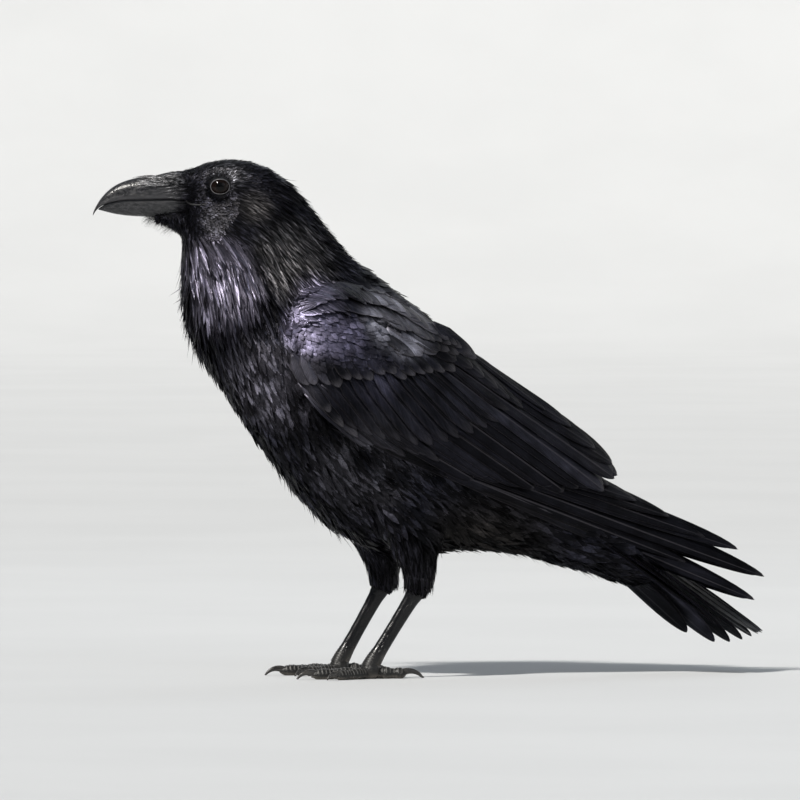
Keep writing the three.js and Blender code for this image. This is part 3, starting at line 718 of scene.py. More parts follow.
def groomSkin(mesh):  # stores the lie, the size and each coat's cover on the skin
    s = groomSettings
    points, normals = pointsOf(mesh), normalsOf(mesh)
    left = points[:, :1] >= 0
    mirror = np.where(left, [1, 1, 1], [-1, 1, 1])
    (spots, ways), (otherSpots, otherWays) = guideLines(1), guideLines(-1)
    lie, size = np.zeros_like(points), np.zeros(len(points))
    covers = {coat: np.zeros(len(points)) for coat, _ in groom}
    total = np.zeros(len(points))
    onWing = readAttribute(mesh, "onWing")
    for i, (coat, _, _, scale) in enumerate(guides):
        distance = np.linalg.norm(points * mirror - np.where(left, spots[i], otherSpots[i]), axis=1) / mm
        weight = 1 / (distance + s["nearest"]) ** s["falloff"]
        weight *= onWing if coat in ("wing", "") else 1 - onWing
        lie += unit(np.where(left, ways[i], otherWays[i])) * weight[:, None]
        size += scale * weight
        covers[coat] += weight
        total += weight
    lie *= mirror
    size /= total
    clear = partRound(points, lie, size)
    lie -= normals * np.sum(lie * normals, axis=1, keepdims=True)
    storeAttribute(mesh, "lie", unit(lie), "FLOAT_VECTOR")
    storeAttribute(mesh, "outward", normals, "FLOAT_VECTOR")
    storeAttribute(mesh, "size", size)
    most = np.max(list(covers.values()), axis=0)
    for coat, weight in covers.items():
        storeAttribute(mesh, "cover " + coat, smoothStep(*s["border"], weight / most) * clear)


def partRound(points, lie, size):  # turns the coat away from the eyes and keeps it off them
    s = eyeSettings
    starts, whole = s["coatStarts"]
    reach, way = fromEyes(points)
    near = smoothStep(s["parting"], s["parted"], reach)
    lie += (way - lie) * near[:, None]
    size *= 1 - s["dwarfing"] * near
    return smoothStep(starts, whole, reach)


# one feather of each kind, a unit long and wide, root at the origin, tip along Y
vaneShapes = {  # blades: lean in degrees, length, width and start; steps along; teeth along the edges
    "scale": {"blades": [(0, 1, 1, 0)], "steps": 3, "teeth": 0.0, "point": 0.55, "arch": 0.3},
    "strand": {"blades": [(0, 1, 1, 0)], "steps": 3, "teeth": 0.0, "point": 1.0, "arch": 0.5},
    "hackle": {"blades": [(0, 1, 0.8, 0), (9, 0.85, 0.4, 0.3), (-11, 0.8, 0.4, 0.25)],
               "steps": 4, "teeth": 0.12, "point": 1.1, "arch": 0.4},
    "lance": {"blades": [(0, 1, 1, 0), (7, 0.8, 0.35, 0.35), (-8, 0.75, 0.35, 0.3)],
              "steps": 7, "teeth": 0.16, "point": 0.95, "arch": 0.4},
    "loose": {"blades": [(0, 1, 1, 0), (14, 0.97, 0.3, 0.5)],
              "steps": 5, "teeth": 0.2, "point": 0.8, "arch": 0.3},
    "round": {"blades": [(0, 1, 1, 0)], "steps": 6, "teeth": 0.05, "point": 0.42, "arch": 0.22},
}
vaneBuild = {
    "halfThickness": 0.25,  # at the middle, as a share of the coat's thickness
    "toothSlant": 0.06,  # how far a notch of the edge leans back
    "narrowest": 0.4,  # a narrower blade has no rim of its own
    "thinning": (4, 0.15),  # narrow parts are thin: this much of the half width, and this
}


def vaneWidth(along, point):  # half width: a narrow root, a full middle, a tip as round as point is small
    return np.minimum(1, 0.25 + along * 2.2) * (1 - along ** (2.2 / point)) ** (0.5 + 0.5 * point)


def vaneTemplate(kind):
    s = vaneShapes[kind]
    thick, (thinning, least) = vaneBuild["halfThickness"], vaneBuild["thinning"]
    vertices, faces, along, across, level = [], [], [], [], []
    for lean, length, width, start in s["blades"]:
        first = len(vertices)
        angle = math.radians(lean)
        for i in range(s["steps"] + 1):
            share = i / s["steps"]
            atTip = i == s["steps"]
            reach = start + (length - start) * share
            notch = s["teeth"] * (i % 2)
            half = 0.0 if atTip else 0.5 * width * vaneWidth(share * 0.995, s["point"]) * (1 - notch)
            run = reach - start
            centre = np.array([math.sin(angle) * run, start + math.cos(angle) * run, 0])
            middle = s["arch"] * 0.5
            for side, rise in ((-1, 0), (0, middle + thick), (1, 0), (0, middle - thick)):
                shift = np.array([side * half, -vaneBuild["toothSlant"] * abs(side) * notch, 0])
                vertices.append(centre + shift)
                along.append(reach)
                across.append(0 if atTip else side * (half * 2 / max(width, vaneBuild["narrowest"])))
                level.append(rise * min(1, half * thinning + least))
        for i in range(s["steps"]):
            for k in range(4):
                a, b = first + 4 * i + k, first + 4 * i + (k + 1) % 4
                faces.append((a, a + 4, b + 4, b))
        faces.append((first, first + 1, first + 2, first + 3))
        last = first + 4 * s["steps"]
        faces.append((last + 3, last + 2, last + 1, last))
    mesh = newMesh("vane " + kind, vertices, faces)
    for name, values in (("along", along), ("across", across), ("level", level)):
        storeAttribute(mesh, name, values)
    mendMesh(mesh, 1e-5)
    mesh.shade_smooth()
    return bpy.data.objects.new("vane " + kind, mesh)


coats = {  # kind, spacing, length, width, thickness, root height, rise of the tip, hug, finish
    "face": ("scale", 0.84, 3.4, 1.35, 0.45, 0.25, 1.0, 1.0, "bright"),
    "crown": ("scale", 0.95, 4.8, 1.5, 0.45, 0.35, 1.2, 1.0, "bright"),
    "nasal": ("strand", 0.7, 9.5, 0.85, 0.5, 0.2, 1.0, 0.7, "bristly"),
    "ear": ("strand", 0.9, 9.0, 1.0, 0.4, 0.3, 1.6, 1.0, "soft"),
    "nape": ("hackle", 1.6, 12.0, 2.0, 0.5, 0.6, 2.6, 1.0, "soft"),
    "chin": ("hackle", 1.3, 9.0, 1.5, 0.45, 0.2, 2.2, 0.7, "soft"),
    "throat": ("lance", 2.2, 27.0, 3.3, 0.7, 0.8, 4.2, 0.82, "silky"),
    "breast": ("loose", 2.0, 16.0, 4.2, 0.6, 0.7, 3.2, 1.0, "soft"),
    "flank": ("loose", 2.3, 21.0, 5.0, 0.6, 0.7, 3.4, 0.95, "soft"),
    "back": ("round", 3.2, 19.0, 8.6, 0.6, 0.8, 3.2, 1.0, "firm"),
    "vent": ("loose", 2.4, 25.0, 5.4, 0.6, 0.7, 3.8, 0.9, "soft"),
    "thigh": ("hackle", 1.7, 15.0, 2.6, 0.5, 0.5, 1.8, 0.9, "soft"),
    "wing": ("round", 2.3, 10.5, 4.6, 0.4, 0.8, 2.1, 1.0, "firm"),
}
coatVariation = {"turn": 0.17, "size": 0.2, "lift": 0.5, "roll": 0.25, "firmRoll": 0.05, "patch": 0.003}


coatInputs = {
    "Skin": "Geometry", "Feather": "Object", "Material": "Material", "Cover": "String", "Spacing": "Float",
    "Length": "Float", "Width": "Float", "Thickness": "Float", "Root Height": "Float", "Rise": "Float",
    "Hug": "Float", "Turn": "Float", "Roll": "Float", "Size Variation": "Float", "Lift Variation": "Float",
    "Patch": "Float", "Seed": "Int",
}


def coatTree():  # feathers planted on a skin, each one laid along it
    tree = bpy.data.node_groups.new("coat", "GeometryNodeTree")
    for label, kind in coatInputs.items():
        tree.interface.new_socket(label, in_out="INPUT", socket_type="NodeSocket" + kind)
    tree.interface.new_socket("Coat", in_out="OUTPUT", socket_type="NodeSocketGeometry")
    starts, ends = tree.nodes.new("NodeGroupInput"), tree.nodes.new("NodeGroupOutput")
    sockets = {s.name: s for s in starts.outputs}

    def named(name, kind="FLOAT"):
        return outputOf(addNode(tree, "GeometryNodeInputNamedAttribute", {"Name": name}, data_type=kind))

    def random(low, high, offset):
        inputs = {"Min": low, "Max": high, "Seed": mathNode(tree, "ADD", sockets["Seed"], offset)}
        return outputOf(addNode(tree, "FunctionNodeRandomValue", inputs, data_type="FLOAT"))

    def product(first, *others):
        for other in others:
            first = mathNode(tree, "MULTIPLY", first, other)
        return first

    def added(first, second):  # vectors
        return addNode(tree, "ShaderNodeVectorMath", {0: first, 1: second}, operation="ADD").outputs[0]

    def scaled(vector, factor):
        inputs = {0: vector, "Scale": factor}
        return addNode(tree, "ShaderNodeVectorMath", inputs, operation="SCALE").outputs[0]

    def xyz(**parts):
        return addNode(tree, "ShaderNodeCombineXYZ", parts).outputs[0]

    def store(geometry, name, value, kind="FLOAT", domain="POINT"):
        inputs = {"Geometry": geometry, "Name": name, "Value": value}
        node = addNode(tree, "GeometryNodeStoreNamedAttribute", inputs, data_type=kind, domain=domain)
        return node.outputs[0]

    def aligned(rotation, direction, **settings):
        inputs = {"Rotation": rotation, "Vector": named(direction, "FLOAT_VECTOR")}
        return addNode(tree, "FunctionNodeAlignRotationToVector", inputs, **settings).outputs[0]

    planted = addNode(tree, "GeometryNodeDistributePointsOnFaces", {
        "Mesh": sockets["Skin"], "Distance Min": sockets["Spacing"], "Density Max": 4.0e6,
        "Density Factor": named(sockets["Cover"]), "Seed": sockets["Seed"]}, distribute_method="POISSON")
    sizeSpread = product(random(-1.0, 1.0, 1), sockets["Size Variation"])
    liftSpread = product(random(-1.0, 1.0, 3), sockets["Lift Variation"])
    grown = product(named("size"), mathNode(tree, "ADD", sizeSpread, 1.0))
    points = store(planted.outputs["Points"], "grown", grown)
    points = store(points, "shade", random(0.0, 1.0, 2))
    points = store(points, "lifted", mathNode(tree, "ADD", liftSpread, 1.0))
    points = store(points, "rolled", random(-1.0, 1.0, 5))
    points = store(points, "rootUV", named("OFBake", "FLOAT_VECTOR"), "FLOAT_VECTOR")
    combed = aligned(aligned((0, 0, 0), "outward", axis="Z"), "lie", axis="Y", pivot_axis="Z")
    turn = xyz(Z=product(random(-1.0, 1.0, 4), sockets["Turn"]))
    turn = addNode(tree, "FunctionNodeEulerToRotation", {0: turn}).outputs[0]
    ruffled = {"Rotation": combed, "Rotate By": turn}
    ruffled = addNode(tree, "FunctionNodeRotateRotation", ruffled, rotation_space="LOCAL").outputs[0]
    feather = addNode(tree, "GeometryNodeObjectInfo", {0: sockets["Feather"]}, transform_space="ORIGINAL")
    scale = xyz(X=product(sockets["Width"], grown), Y=product(sockets["Length"], grown), Z=0.001)
    laid = addNode(tree, "GeometryNodeInstanceOnPoints", {
        "Points": points, "Instance": feather.outputs["Geometry"], "Rotation": ruffled, "Scale": scale})
    realized = addNode(tree, "GeometryNodeRealizeInstances", {0: laid.outputs[0]})

    here = addNode(tree, "GeometryNodeInputPosition").outputs[0]

    def onSkin(value):  # at the nearest place of the skin
        inputs = {"Mesh": sockets["Skin"], "Value": value, "Sample Position": here}
        node = addNode(tree, "GeometryNodeSampleNearestSurface", inputs, data_type="FLOAT_VECTOR")
        return node.outputs[0]

    along, across = named("along"), named("across")
    climb = product(along, sockets["Rise"], named("lifted"))
    thick = product(named("level"), sockets["Thickness"])
    thick = mathNode(tree, "ADD", thick, product(across, named("rolled"), sockets["Roll"]))
    height = product(mathNode(tree, "ADD", climb, thick), named("grown"))
    height = mathNode(tree, "ADD", height, sockets["Root Height"])
    rise = scaled(onSkin(named("outward", "FLOAT_VECTOR")), height)
    standing = mathNode(tree, "SUBTRACT", sockets["Hug"], 1.0)
    hug = mathNode(tree, "ADD", product(along, standing), 1.0)
    blend = {"Factor": hug, "A": added(here, rise), "B": added(onSkin(here), rise)}
    blend = outputOf(addNode(tree, "ShaderNodeMix", blend, data_type="VECTOR"))
    moved = addNode(tree, "GeometryNodeSetPosition", {"Geometry": realized.outputs[0], "Position": blend})
    patch = scaled(xyz(X=product(across, 0.5), Y=along), sockets["Patch"])
    patch = added(named("rootUV", "FLOAT_VECTOR"), patch)
    mapped = store(moved.outputs[0], "OFBake", patch, "FLOAT2", "CORNER")
    dressed = {"Geometry": mapped, "Material": sockets["Material"]}
    tree.links.new(addNode(tree, "GeometryNodeSetMaterial", dressed).outputs[0], ends.inputs[0])
    return tree


def growCoat(name, skin, tree, templates, seed):
    kind, spacing, length, width, thickness, root, rise, hug, finish = coats[name]
    coat = linkObject(bpy.data.objects.new("coat_" + name, skin.data.copy()))
    modifier = coat.modifiers.new("coat", "NODES")
    modifier.node_group = tree
    values = {
        "Feather": templates[kind], "Cover": "cover " + name,
        "Material": featherMaterial(f"{finish} {name}"), "Spacing": spacing * mm,
        "Length": length * mm, "Width": width * mm, "Thickness": thickness * mm,
        "Root Height": root * mm, "Rise": rise * mm, "Hug": hug, "Turn": coatVariation["turn"],
        "Roll": coatVariation["firmRoll" if kind in ("round", "scale") else "roll"] * width * mm,
        "Size Variation": coatVariation["size"], "Lift Variation": coatVariation["lift"],
        "Patch": coatVariation["patch"], "Seed": seed,
    }
    for socket in tree.interface.items_tree:
        if socket.item_type == "SOCKET" and socket.name in values:
            modifier[socket.identifier] = values[socket.name]
    bakeModifiers(coat)
    coat.data.shade_smooth()
    coat.data.update()
    print(f"coat_{name}: {len(coat.data.polygons)} faces")
    return coat


# plumes that stand clear of the coat: root and tip along the unturned bird, and width
strayPlumes = [
    ((192, 2, 296), (205, 3, 285), 4.2), ((191, 4, 288), (201, 5, 279), 3.2),
    ((192, 3, 284), (197.5, 4, 266), 4.0), ((190, 4, 278), (188, 5, 253), 3.6),
    ((189, 5, 270), (184, 7, 247), 3.2), ((187, 4, 262), (180, 5, 238), 3.8),
    ((183, 7, 255), (175, 9, 231), 3.4), ((179, 5, 248), (169, 6, 225), 4.0),
    ((176, 10, 244), (165, 12, 221), 3.4), ((102, 3, 367), (89, 4, 358), 2.4),
    ((96, 8, 362), (85, 9, 352), 2.0),
]
fringes = {  # line of roots, reach to the sides, heading, how many, length, width, lift off the skin
    "beard": ([(194, 8, 320), (188, 10, 262)], 14, (-0.12, 0, -1), 90, (22, 30), 2.6, (4, 8)),
    "belly": ([(128, 8, 170), (60, 10, 104)], 12, (-0.72, 0, -0.7), 130, (16, 26), 2.2, (4, 8)),
    "vent": ([(-8, 10, 90), (-60, 8, 92), (-135, 6, 72), (-150, 6, 66)], 12, (-0.97, 0, -0.22), 240,
             (14, 28), 1.6, (4, 8.5)),
    "undertail": ([(-86, 8, 84), (-138, 6, 70)], 14, (-0.94, 0, -0.3), 150, (24, 40), 4.2, (1.0, 3.5)),
    "chin": ([(210, 3, 346), (186, 6, 330)], 9, (0.3, 0, -1), 420, (4, 8), 0.8, (0.5, 2.0)),
    "heel": ([(30, 33, 77), (12, 33, 75)], 9, (-0.02, 0, -1), 300, (8, 14), 1.5, (0.6, 2.2)),
    "nape": ([(118, 10, 376), (64, 14, 318)], 14, (-0.68, 0, -0.73), 150, (9, 14), 1.5, (2.4, 4.4)),
}
plumeSettings = {
    "steps": 6, "crown": 0.25,           # height of the shaft, as a share of the half width
    "rootUp": 1.2, "curve": 1.6,         # height over the skin at the root, and how late the tip lifts
    "leastLift": 2.0,
    "drift": 2, "turn": 0.1, "sizes": (0.7, 1.3), "seed": 41,  # variation of the fringes
}


def plumePart(root, outward, heading, length, width, lift, shade):  # a curved blade with a raised shaft
    s = plumeSettings
    steps = s["steps"]
    across = np.cross(heading, outward)
    points, along, sides = [], [], []
    for i in range(steps + 1):
        share = i / steps
        rise = s["rootUp"] + lift * share ** s["curve"]
        middle = root + (heading * length * share + outward * rise) * mm
        half = width * mm * 0.5 * min(1, 0.3 + 2.4 * share) * (1 - share ** 2.2) + 2e-5
        points += [middle - across * half, middle + outward * s["crown"] * half, middle + across * half]
        along += [share] * 3
        sides += [-1, 0, 1]
    faces = []
    for i in range(steps):
        for k in range(3):
            a, b = 3 * i + k, 3 * i + (k + 1) % 3
            faces.append((a, b, b + 3, a + 3))
    faces += [(2, 1, 0), (3 * steps, 3 * steps + 1, 3 * steps + 2)]
    values = {"along": along, "across": sides, "shade": [shade] * len(points)}
    return {"points": points, "faces": faces, "values": values}


def makePlumes(skin):
    p = plumeSettings
    chance = np.random.default_rng(p["seed"])
    tree = surfaceTree(skin.data)

    def rooted(spot, tip):  # a root on the skin, the way out of it, and the way to a tip
        near, outward, _, _ = tree.find_nearest(Vector(turned(place(*spot))))
        way = turned(place(*tip)) - turned(place(*spot))
        return np.array(near), np.array(outward), way / mm

    parts = []
    for sign in (1, -1):
        for (f, s, u), (tipF, tipS, tipU), width in strayPlumes:
            near, outward, way = rooted((f, sign * s, u), (tipF, sign * tipS, tipU))
            lift = max(p["leastLift"], float(way @ outward))
            flat = way - outward * float(way @ outward)
            length = np.linalg.norm(flat) + 1e-6
            parts.append(plumePart(near, outward, flat / length, length, width, lift, chance.random()))
    pieces = [closedPiece("stray_plumes", parts, featherMaterial("silky plumes"))]
    for name, (line, reach, lie, count, lengths, width, lifts) in fringes.items():
        parts = []
        for _ in range(count):
            f, s, u = alongLine(line, chance.random())
            f, s = f + chance.normal(0, p["drift"]), s + chance.uniform(-reach, reach)
            spot = np.array((f, chance.choice((-1, 1)) * s, u))
            heading = np.array(lie) + chance.normal(0, p["turn"], 3)
            near, outward, way = rooted(spot, spot + heading * 10)
            way = unit(way - outward * float(way @ outward))
            length, lift = chance.uniform(*lengths), chance.uniform(*lifts)
            size = width * chance.uniform(*p["sizes"])
            parts.append(plumePart(near, outward, way, length, size, lift, chance.random()))
        material = featherMaterial("soft fringe " + name)
        pieces.append(closedPiece("fringe_" + name, parts, material))
    for piece in pieces:
        mapOnSkin(piece.data, skin)
    return pieces


# large feathers, each one laid along a sheet that is read from the solids
sheetSettings = {
    "step": 4.0, "margin": 24.0, "evening": 4,
    "sink": 5.0,       # how deep a sheet passes beneath the one over it
    "startSide": 200,  # rays to the solids start this far out
}


def readSheet(nodes, sign, under=None):  # outermost side of some CAD nodes, smooth, over forward and up
    s = sheetSettings
    mesh = joinNodes(nodes, "sheet")
    tree = surfaceTree(mesh)
    forward, _, up = measure(pointsOf(mesh))
    bpy.data.meshes.remove(mesh)
    rows = np.arange(forward.min() - s["margin"], forward.max() + s["margin"], s["step"])
    columns = np.arange(up.min() - s["margin"], up.max() + s["margin"], s["step"])
    grid = np.full((len(rows), len(columns)), np.nan)
    for i, f in enumerate(rows):
        for k, u in enumerate(columns):
            hit = tree.ray_cast(Vector(place(f, sign * s["startSide"], u)), Vector((-sign, 0, 0)))[0]
            if hit:
                grid[i, k] = abs(hit.x) / mm
    if under:  # where the nodes end, the sheet passes beneath another one
        f, u = np.meshgrid(rows, columns, indexing="ij")
        beneath = np.minimum(sheetSide(under, f, u) - s["sink"], np.nanmax(grid))
        grid = np.where(np.isnan(grid), beneath, grid)
    known = ~np.isnan(grid)
    filled = np.where(known, grid, 0)
    while not known.all():  # grows the sheet over the cells round it
        sums, counts = blur(filled * known), blur(known.astype(float))
        fresh = ~known & (counts > 1e-6)
        filled = np.where(fresh, sums / np.maximum(counts, 1e-6), filled)
        known |= fresh
    for _ in range(s["evening"]):
        filled = blur(filled)
    return {"origin": (rows[0], columns[0]), "step": s["step"], "grid": filled, "sign": sign}


def blur(grid):  # each cell averaged with the eight round it
    padded = np.pad(grid, 1, mode="edge")
    rows, columns = grid.shape
    return sum(padded[i:i + rows, k:k + columns] for i in range(3) for k in range(3)) / 9


def sheetSide(sheet, forward, up):  # how far out the sheet lies
    i = np.clip((forward - sheet["origin"][0]) / sheet["step"], 0, sheet["grid"].shape[0] - 1.001)
    k = np.clip((up - sheet["origin"][1]) / sheet["step"], 0, sheet["grid"].shape[1] - 1.001)
    i0, k0 = i.astype(int), k.astype(int)
    a, b = i - i0, k - k0
    g = sheet["grid"]
    return (g[i0, k0] * (1 - a) * (1 - b) + g[i0 + 1, k0] * a * (1 - b)
            + g[i0, k0 + 1] * (1 - a) * b + g[i0 + 1, k0 + 1] * a * b)


def sheetPoints(sheet, spots):  # scene points of forward, up and height over the sheet
    forward, up, height = np.array(spots).T
    return place(forward, sheet["sign"] * (sheetSide(sheet, forward, up) + height), up)


quillShape = {
    "steps": 16, "crowding": 1.8,  # steps grow shorter towards the tip
    "lanes": [-1.0, -0.55, -0.07, 0.0, 0.07, 0.55, 1.0],  # places across, from lower to upper edge
    "crown": [0, 0.12, 0.25, 1, 0.25, 0.12, 0],  # heights there, as shares of the shaft's
    "ridge": 0.45, "thickness": 0.35, "camber": 0.02,
}


def newFlock():
    return {key: [] for key in ("points", "faces", "along", "across", "shade")}


def quillWidths(along, tip):  # share of a quill's width at shares of its length
    swell = np.minimum(1, 0.2 + along * 2.6)
    return swell * np.clip(1 - np.clip((along - tip) / (1 - tip), 0, 1) ** 2.2, 0, 1) ** 0.6


def layQuill(flock, spec, shade):  # one flight feather or covert, as a thin closed vane with a shaft
    s = quillShape
    root, tip = np.array(spec["root"], float), np.array(spec["tip"], float)
    length = np.linalg.norm(tip - root)
    ahead = (tip - root) / length
    beside = np.array([ahead[1], -ahead[0]])  # in the sheet, towards the feather's upper edge
    steps, row = s["steps"], len(s["lanes"])
    along = 1 - (1 - np.linspace(0, 1, steps + 1)) ** s["crowding"]
    width = quillWidths(along, spec["blunt"])
    rise = spec["low"] + (spec["high"] - spec["low"]) * along
    first = len(flock["points"])
    for under in (False, True):
        for a, share, level in zip(along, width, rise):
            for lane, crown in zip(s["lanes"], s["crown"]):
                reach = spec["upper"] if lane > 0 else spec["lower"]
                spot = root + ahead * length * a + beside * (lane * reach * share)
                bend = s["camber"] * abs(lane) * reach * spec.get("camber", 1.0)
                face = -s["thickness"] * (1 - abs(lane)) if under else s["ridge"] * crown
                flock["points"].append((*spot, level + spec["tilt"] * lane - bend + share * face))
                flock["along"].append(a)
                flock["across"].append(lane)
                flock["shade"].append(shade)
    under = first + (steps + 1) * row
    for i in range(steps):
        for k in range(row - 1):
            a, b = first + i * row + k, under + i * row + k
            flock["faces"].append((a, a + row, a + row + 1, a + 1))
            flock["faces"].append((b, b + 1, b + row + 1, b + row))
        for edge in (0, row - 1):
            a, b = first + i * row + edge, under + i * row + edge
            flock["faces"].append((a, b, b + row, a + row) if edge == 0 else (a, a + row, b + row, b))
    for end in (0, steps):
        for k in range(row - 1):
            a, b = first + end * row + k, under + end * row + k
            flock["faces"].append((a, a + 1, b + 1, b) if end == 0 else (a, b, b + 1, a + 1))


def finishPiece(name, mesh, material):
    mesh.shade_smooth()
    mesh.materials.append(material)
    piece = linkObject(bpy.data.objects.new(name, mesh))
    print(f"{name}: {len(mesh.polygons)} faces")
    return piece


def flockPiece(name, flock, points, skin, material):
    mesh = newMesh(name, points, flock["faces"])
    for key in ("along", "across", "shade"):
        storeAttribute(mesh, key, flock[key])
    mendMesh(mesh, 1e-6, 1e-7)
    mapOnSkin(mesh, skin)
    return finishPiece(name, mesh, material)


def looseParts(mesh):  # the points of each part that hangs together, by number
    bm = bmesh.new()
    bm.from_mesh(mesh)
    seen = set()
    for start in bm.verts:
        if start.index in seen:
            continue
        part, queue = [], [start]
        seen.add(start.index)
        while queue:
            vertex = queue.pop()
            part.append(vertex.index)
            for edge in vertex.link_edges:
                other = edge.other_vert(vertex)
                if other.index not in seen:
                    seen.add(other.index)
                    queue.append(other)
        yield part
    bm.free()


def mapOnSkin(mesh, skin):  # each loose vane is a small patch at its root's place on the skin's unwrap
    skinMesh = skin.data
    tree = surfaceTree(skinMesh)
    uvs = skinMesh.uv_layers["OFBake"].data
    along = readAttribute(mesh, "along")
    across = readAttribute(mesh, "across") if "across" in mesh.attributes else 0 * along
    rootUV = np.zeros((len(mesh.vertices), 2))
    for part in looseParts(mesh):
        root = mesh.vertices[part[np.argmin(along[part])]]
        face = tree.find_nearest(root.co)[2]
        rootUV[part] = uvs[skinMesh.polygons[face].loop_start].uv
    corners = np.empty(len(mesh.loops), np.int32)
    mesh.loops.foreach_get("vertex_index", corners)
    patch = np.stack([across * 0.5, along], axis=1) * coatVariation["patch"]
    layer = mesh.uv_layers.new(name="OFBake")
    layer.data.foreach_set("uv", (rootUV + patch)[corners].astype(np.float32).ravel())


def alongLine(points, share):  # a point at a share of the way along a line of guide points, by spacing
    points = np.array(points, float)
    gaps = np.linalg.norm(np.diff(points, axis=0), axis=1)
    reach = np.concatenate([[0], np.cumsum(gaps)]) / gaps.sum()
    return np.array([np.interp(share, reach, points[:, k]) for k in range(points.shape[1])])


# rows of the folded wing, as forward and up on its outer sheet, from the outermost feather to the innermost.
# upper and lower are the vane's widths beside its shaft, low and high its heights at root and tip, tilt what
# its upper edge rises, blunt where it starts to narrow, and stack what each one lies over the last.
wingRows = {
    "primaries": {
        "roots": [(92, 190), (50, 204)],
        "tips": [(-196, 82), (-250, 54), (-260.5, 72.5), (-238, 92), (-210, 105), (-182, 119), (-158, 131),
                 (-134, 142), (-112, 149)],
        "upper": 12, "lower": 6.5, "low": -3.2, "high": -1.0, "tilt": -1.0, "blunt": 0.56, "stack": 0.28,
        "sheet": "blade", "finish": "quill",
    },
    "primaryCoverts": {
        "roots": [(112, 214), (98, 222)], "count": 8,
        "tips": [(66, 177), (46, 170), (28, 167), (8, 164)],
        "upper": 6, "lower": 4.5, "low": -3.0, "high": -0.7, "tilt": -0.7, "blunt": 0.7, "stack": 0.1,
        "sheet": "cover", "finish": "firm",
    },
    "secondaries": {
        "roots": [(84, 206), (10, 246)], "count": 11,
        "tips": [(-22, 151), (-56, 145), (-88, 141), (-118, 140), (-134, 142), (-140, 147)],
        "upper": 12, "lower": 7, "low": -3.2, "high": -1.1, "tilt": -1.1, "blunt": 0.84, "stack": 0.2,
        "sheet": "cover", "finish": "quill",
    },
    "tertials": {
        "roots": [(10, 246), (-12, 252)], "count": 5,
        "tips": [(-142, 151), (-138, 159), (-125, 170), (-105, 184), (-84, 199)],
        "upper": 12, "lower": 10, "taper": 0.75, "low": -3.0, "high": 0.0, "tilt": -1.0, "blunt": 0.72,
        "stack": 0.28, "sheet": "cover", "finish": "quill",
    },
    "greaterCoverts": {
        "roots": [(110, 230), (70, 238), (4, 252)], "count": 13,
        "tips": [(72, 188), (50, 180), (22, 176), (-4, 178), (-26, 185), (-44, 195), (-62, 205)],
        "upper": 8, "lower": 6.5, "low": -2.9, "high": -0.4, "tilt": -0.9, "blunt": 0.7, "stack": 0.07,
        "sheet": "cover", "finish": "firm",
    },
    "medianCoverts": {
        "roots": [(121, 244), (84, 250), (20, 254)], "count": 15,
        "tips": [(112, 222), (92, 220), (70, 223), (48, 227), (26, 227), (6, 229), (-8, 232)],
        "upper": 6.4, "lower": 6, "low": -2.7, "high": 0.3, "tilt": -0.5, "blunt": 0.6, "stack": 0.05,
        "sheet": "cover", "finish": "edged",
    },
    "alula": {
        "roots": [(117, 222), (112, 226)], "count": 3,
        "tips": [(74, 181), (84, 189), (94, 198)],
        "upper": 4.4, "lower": 3.4, "low": -2.4, "high": 0.4, "tilt": -0.4, "blunt": 0.75, "stack": 0.25,
        "sheet": "cover", "finish": "edged",
    },
    "innerCoverts": {
        "roots": [(52, 262), (4, 266)], "count": 8,
        "tips": [(26, 243), (6, 243), (-12, 243), (-30, 238)],
        "upper": 6, "lower": 5.6, "low": -2.4, "high": 0.7, "tilt": -0.5, "blunt": 0.6, "stack": 0.08,
        "sheet": "cover", "finish": "edged",
    },
    "longScapulars": {
        "roots": [(34, 267), (16, 262), (-4, 254)], "count": 7,
        "tips": [(0, 243), (-18, 234), (-36, 223), (-52, 211), (-66, 203)],
        "upper": 8, "lower": 8, "taper": 0.5, "low": -2.6, "high": 1.2, "tilt": -0.25, "blunt": 0.62,
        "stack": 0.12, "sheet": "mantle", "finish": "firm",
    },
    "scapulars": {
        "roots": [(86, 285), (50, 281), (16, 266)], "count": 17,
        "tips": [(62, 272), (50, 270), (38, 266), (26, 260), (12, 254), (-6, 248)],
        "upper": 4.4, "lower": 4.2, "low": -2.4, "high": 2.6, "tilt": -0.5, "blunt": 0.4, "stack": -0.05,
        "sheet": "mantle", "finish": "edged",
    },
    "upperScapulars": {
        "roots": [(84, 297), (54, 291), (26, 277), (4, 262)], "count": 18,
        "tips": [(58, 284), (36, 278), (16, 266), (-4, 254), (-22, 243)],
        "upper": 4.4, "lower": 4.2, "low": -2.4, "high": 2.2, "tilt": -0.4, "blunt": 0.4, "stack": -0.05,
        "sheet": "mantle", "finish": "edged",
    },
    "lowerPlumes": {
        "roots": [(125, 258), (121, 274), (110, 286), (92, 292)], "count": 18,
        "tips": [(116, 264), (104, 272), (90, 276), (70, 274)],
        "upper": 2.7, "lower": 2.7, "low": -4.6, "high": 2.2, "tilt": -0.3, "blunt": 0.4, "stack": 0.04,
        "sheet": "mantle", "finish": "sleek",
    },
    "upperPlumes": {
        "roots": [(122, 272), (112, 290), (92, 298), (74, 298)], "count": 20,
        "tips": [(106, 279), (92, 284), (74, 285), (54, 280)],
        "upper": 2.9, "lower": 2.9, "low": -4.6, "high": 2.6, "tilt": -0.3, "blunt": 0.4, "stack": 0.04,
        "sheet": "mantle", "finish": "sleek",
    },
}
wingVariation = {"tip": 1.4, "width": 0.05, "seed": 11}


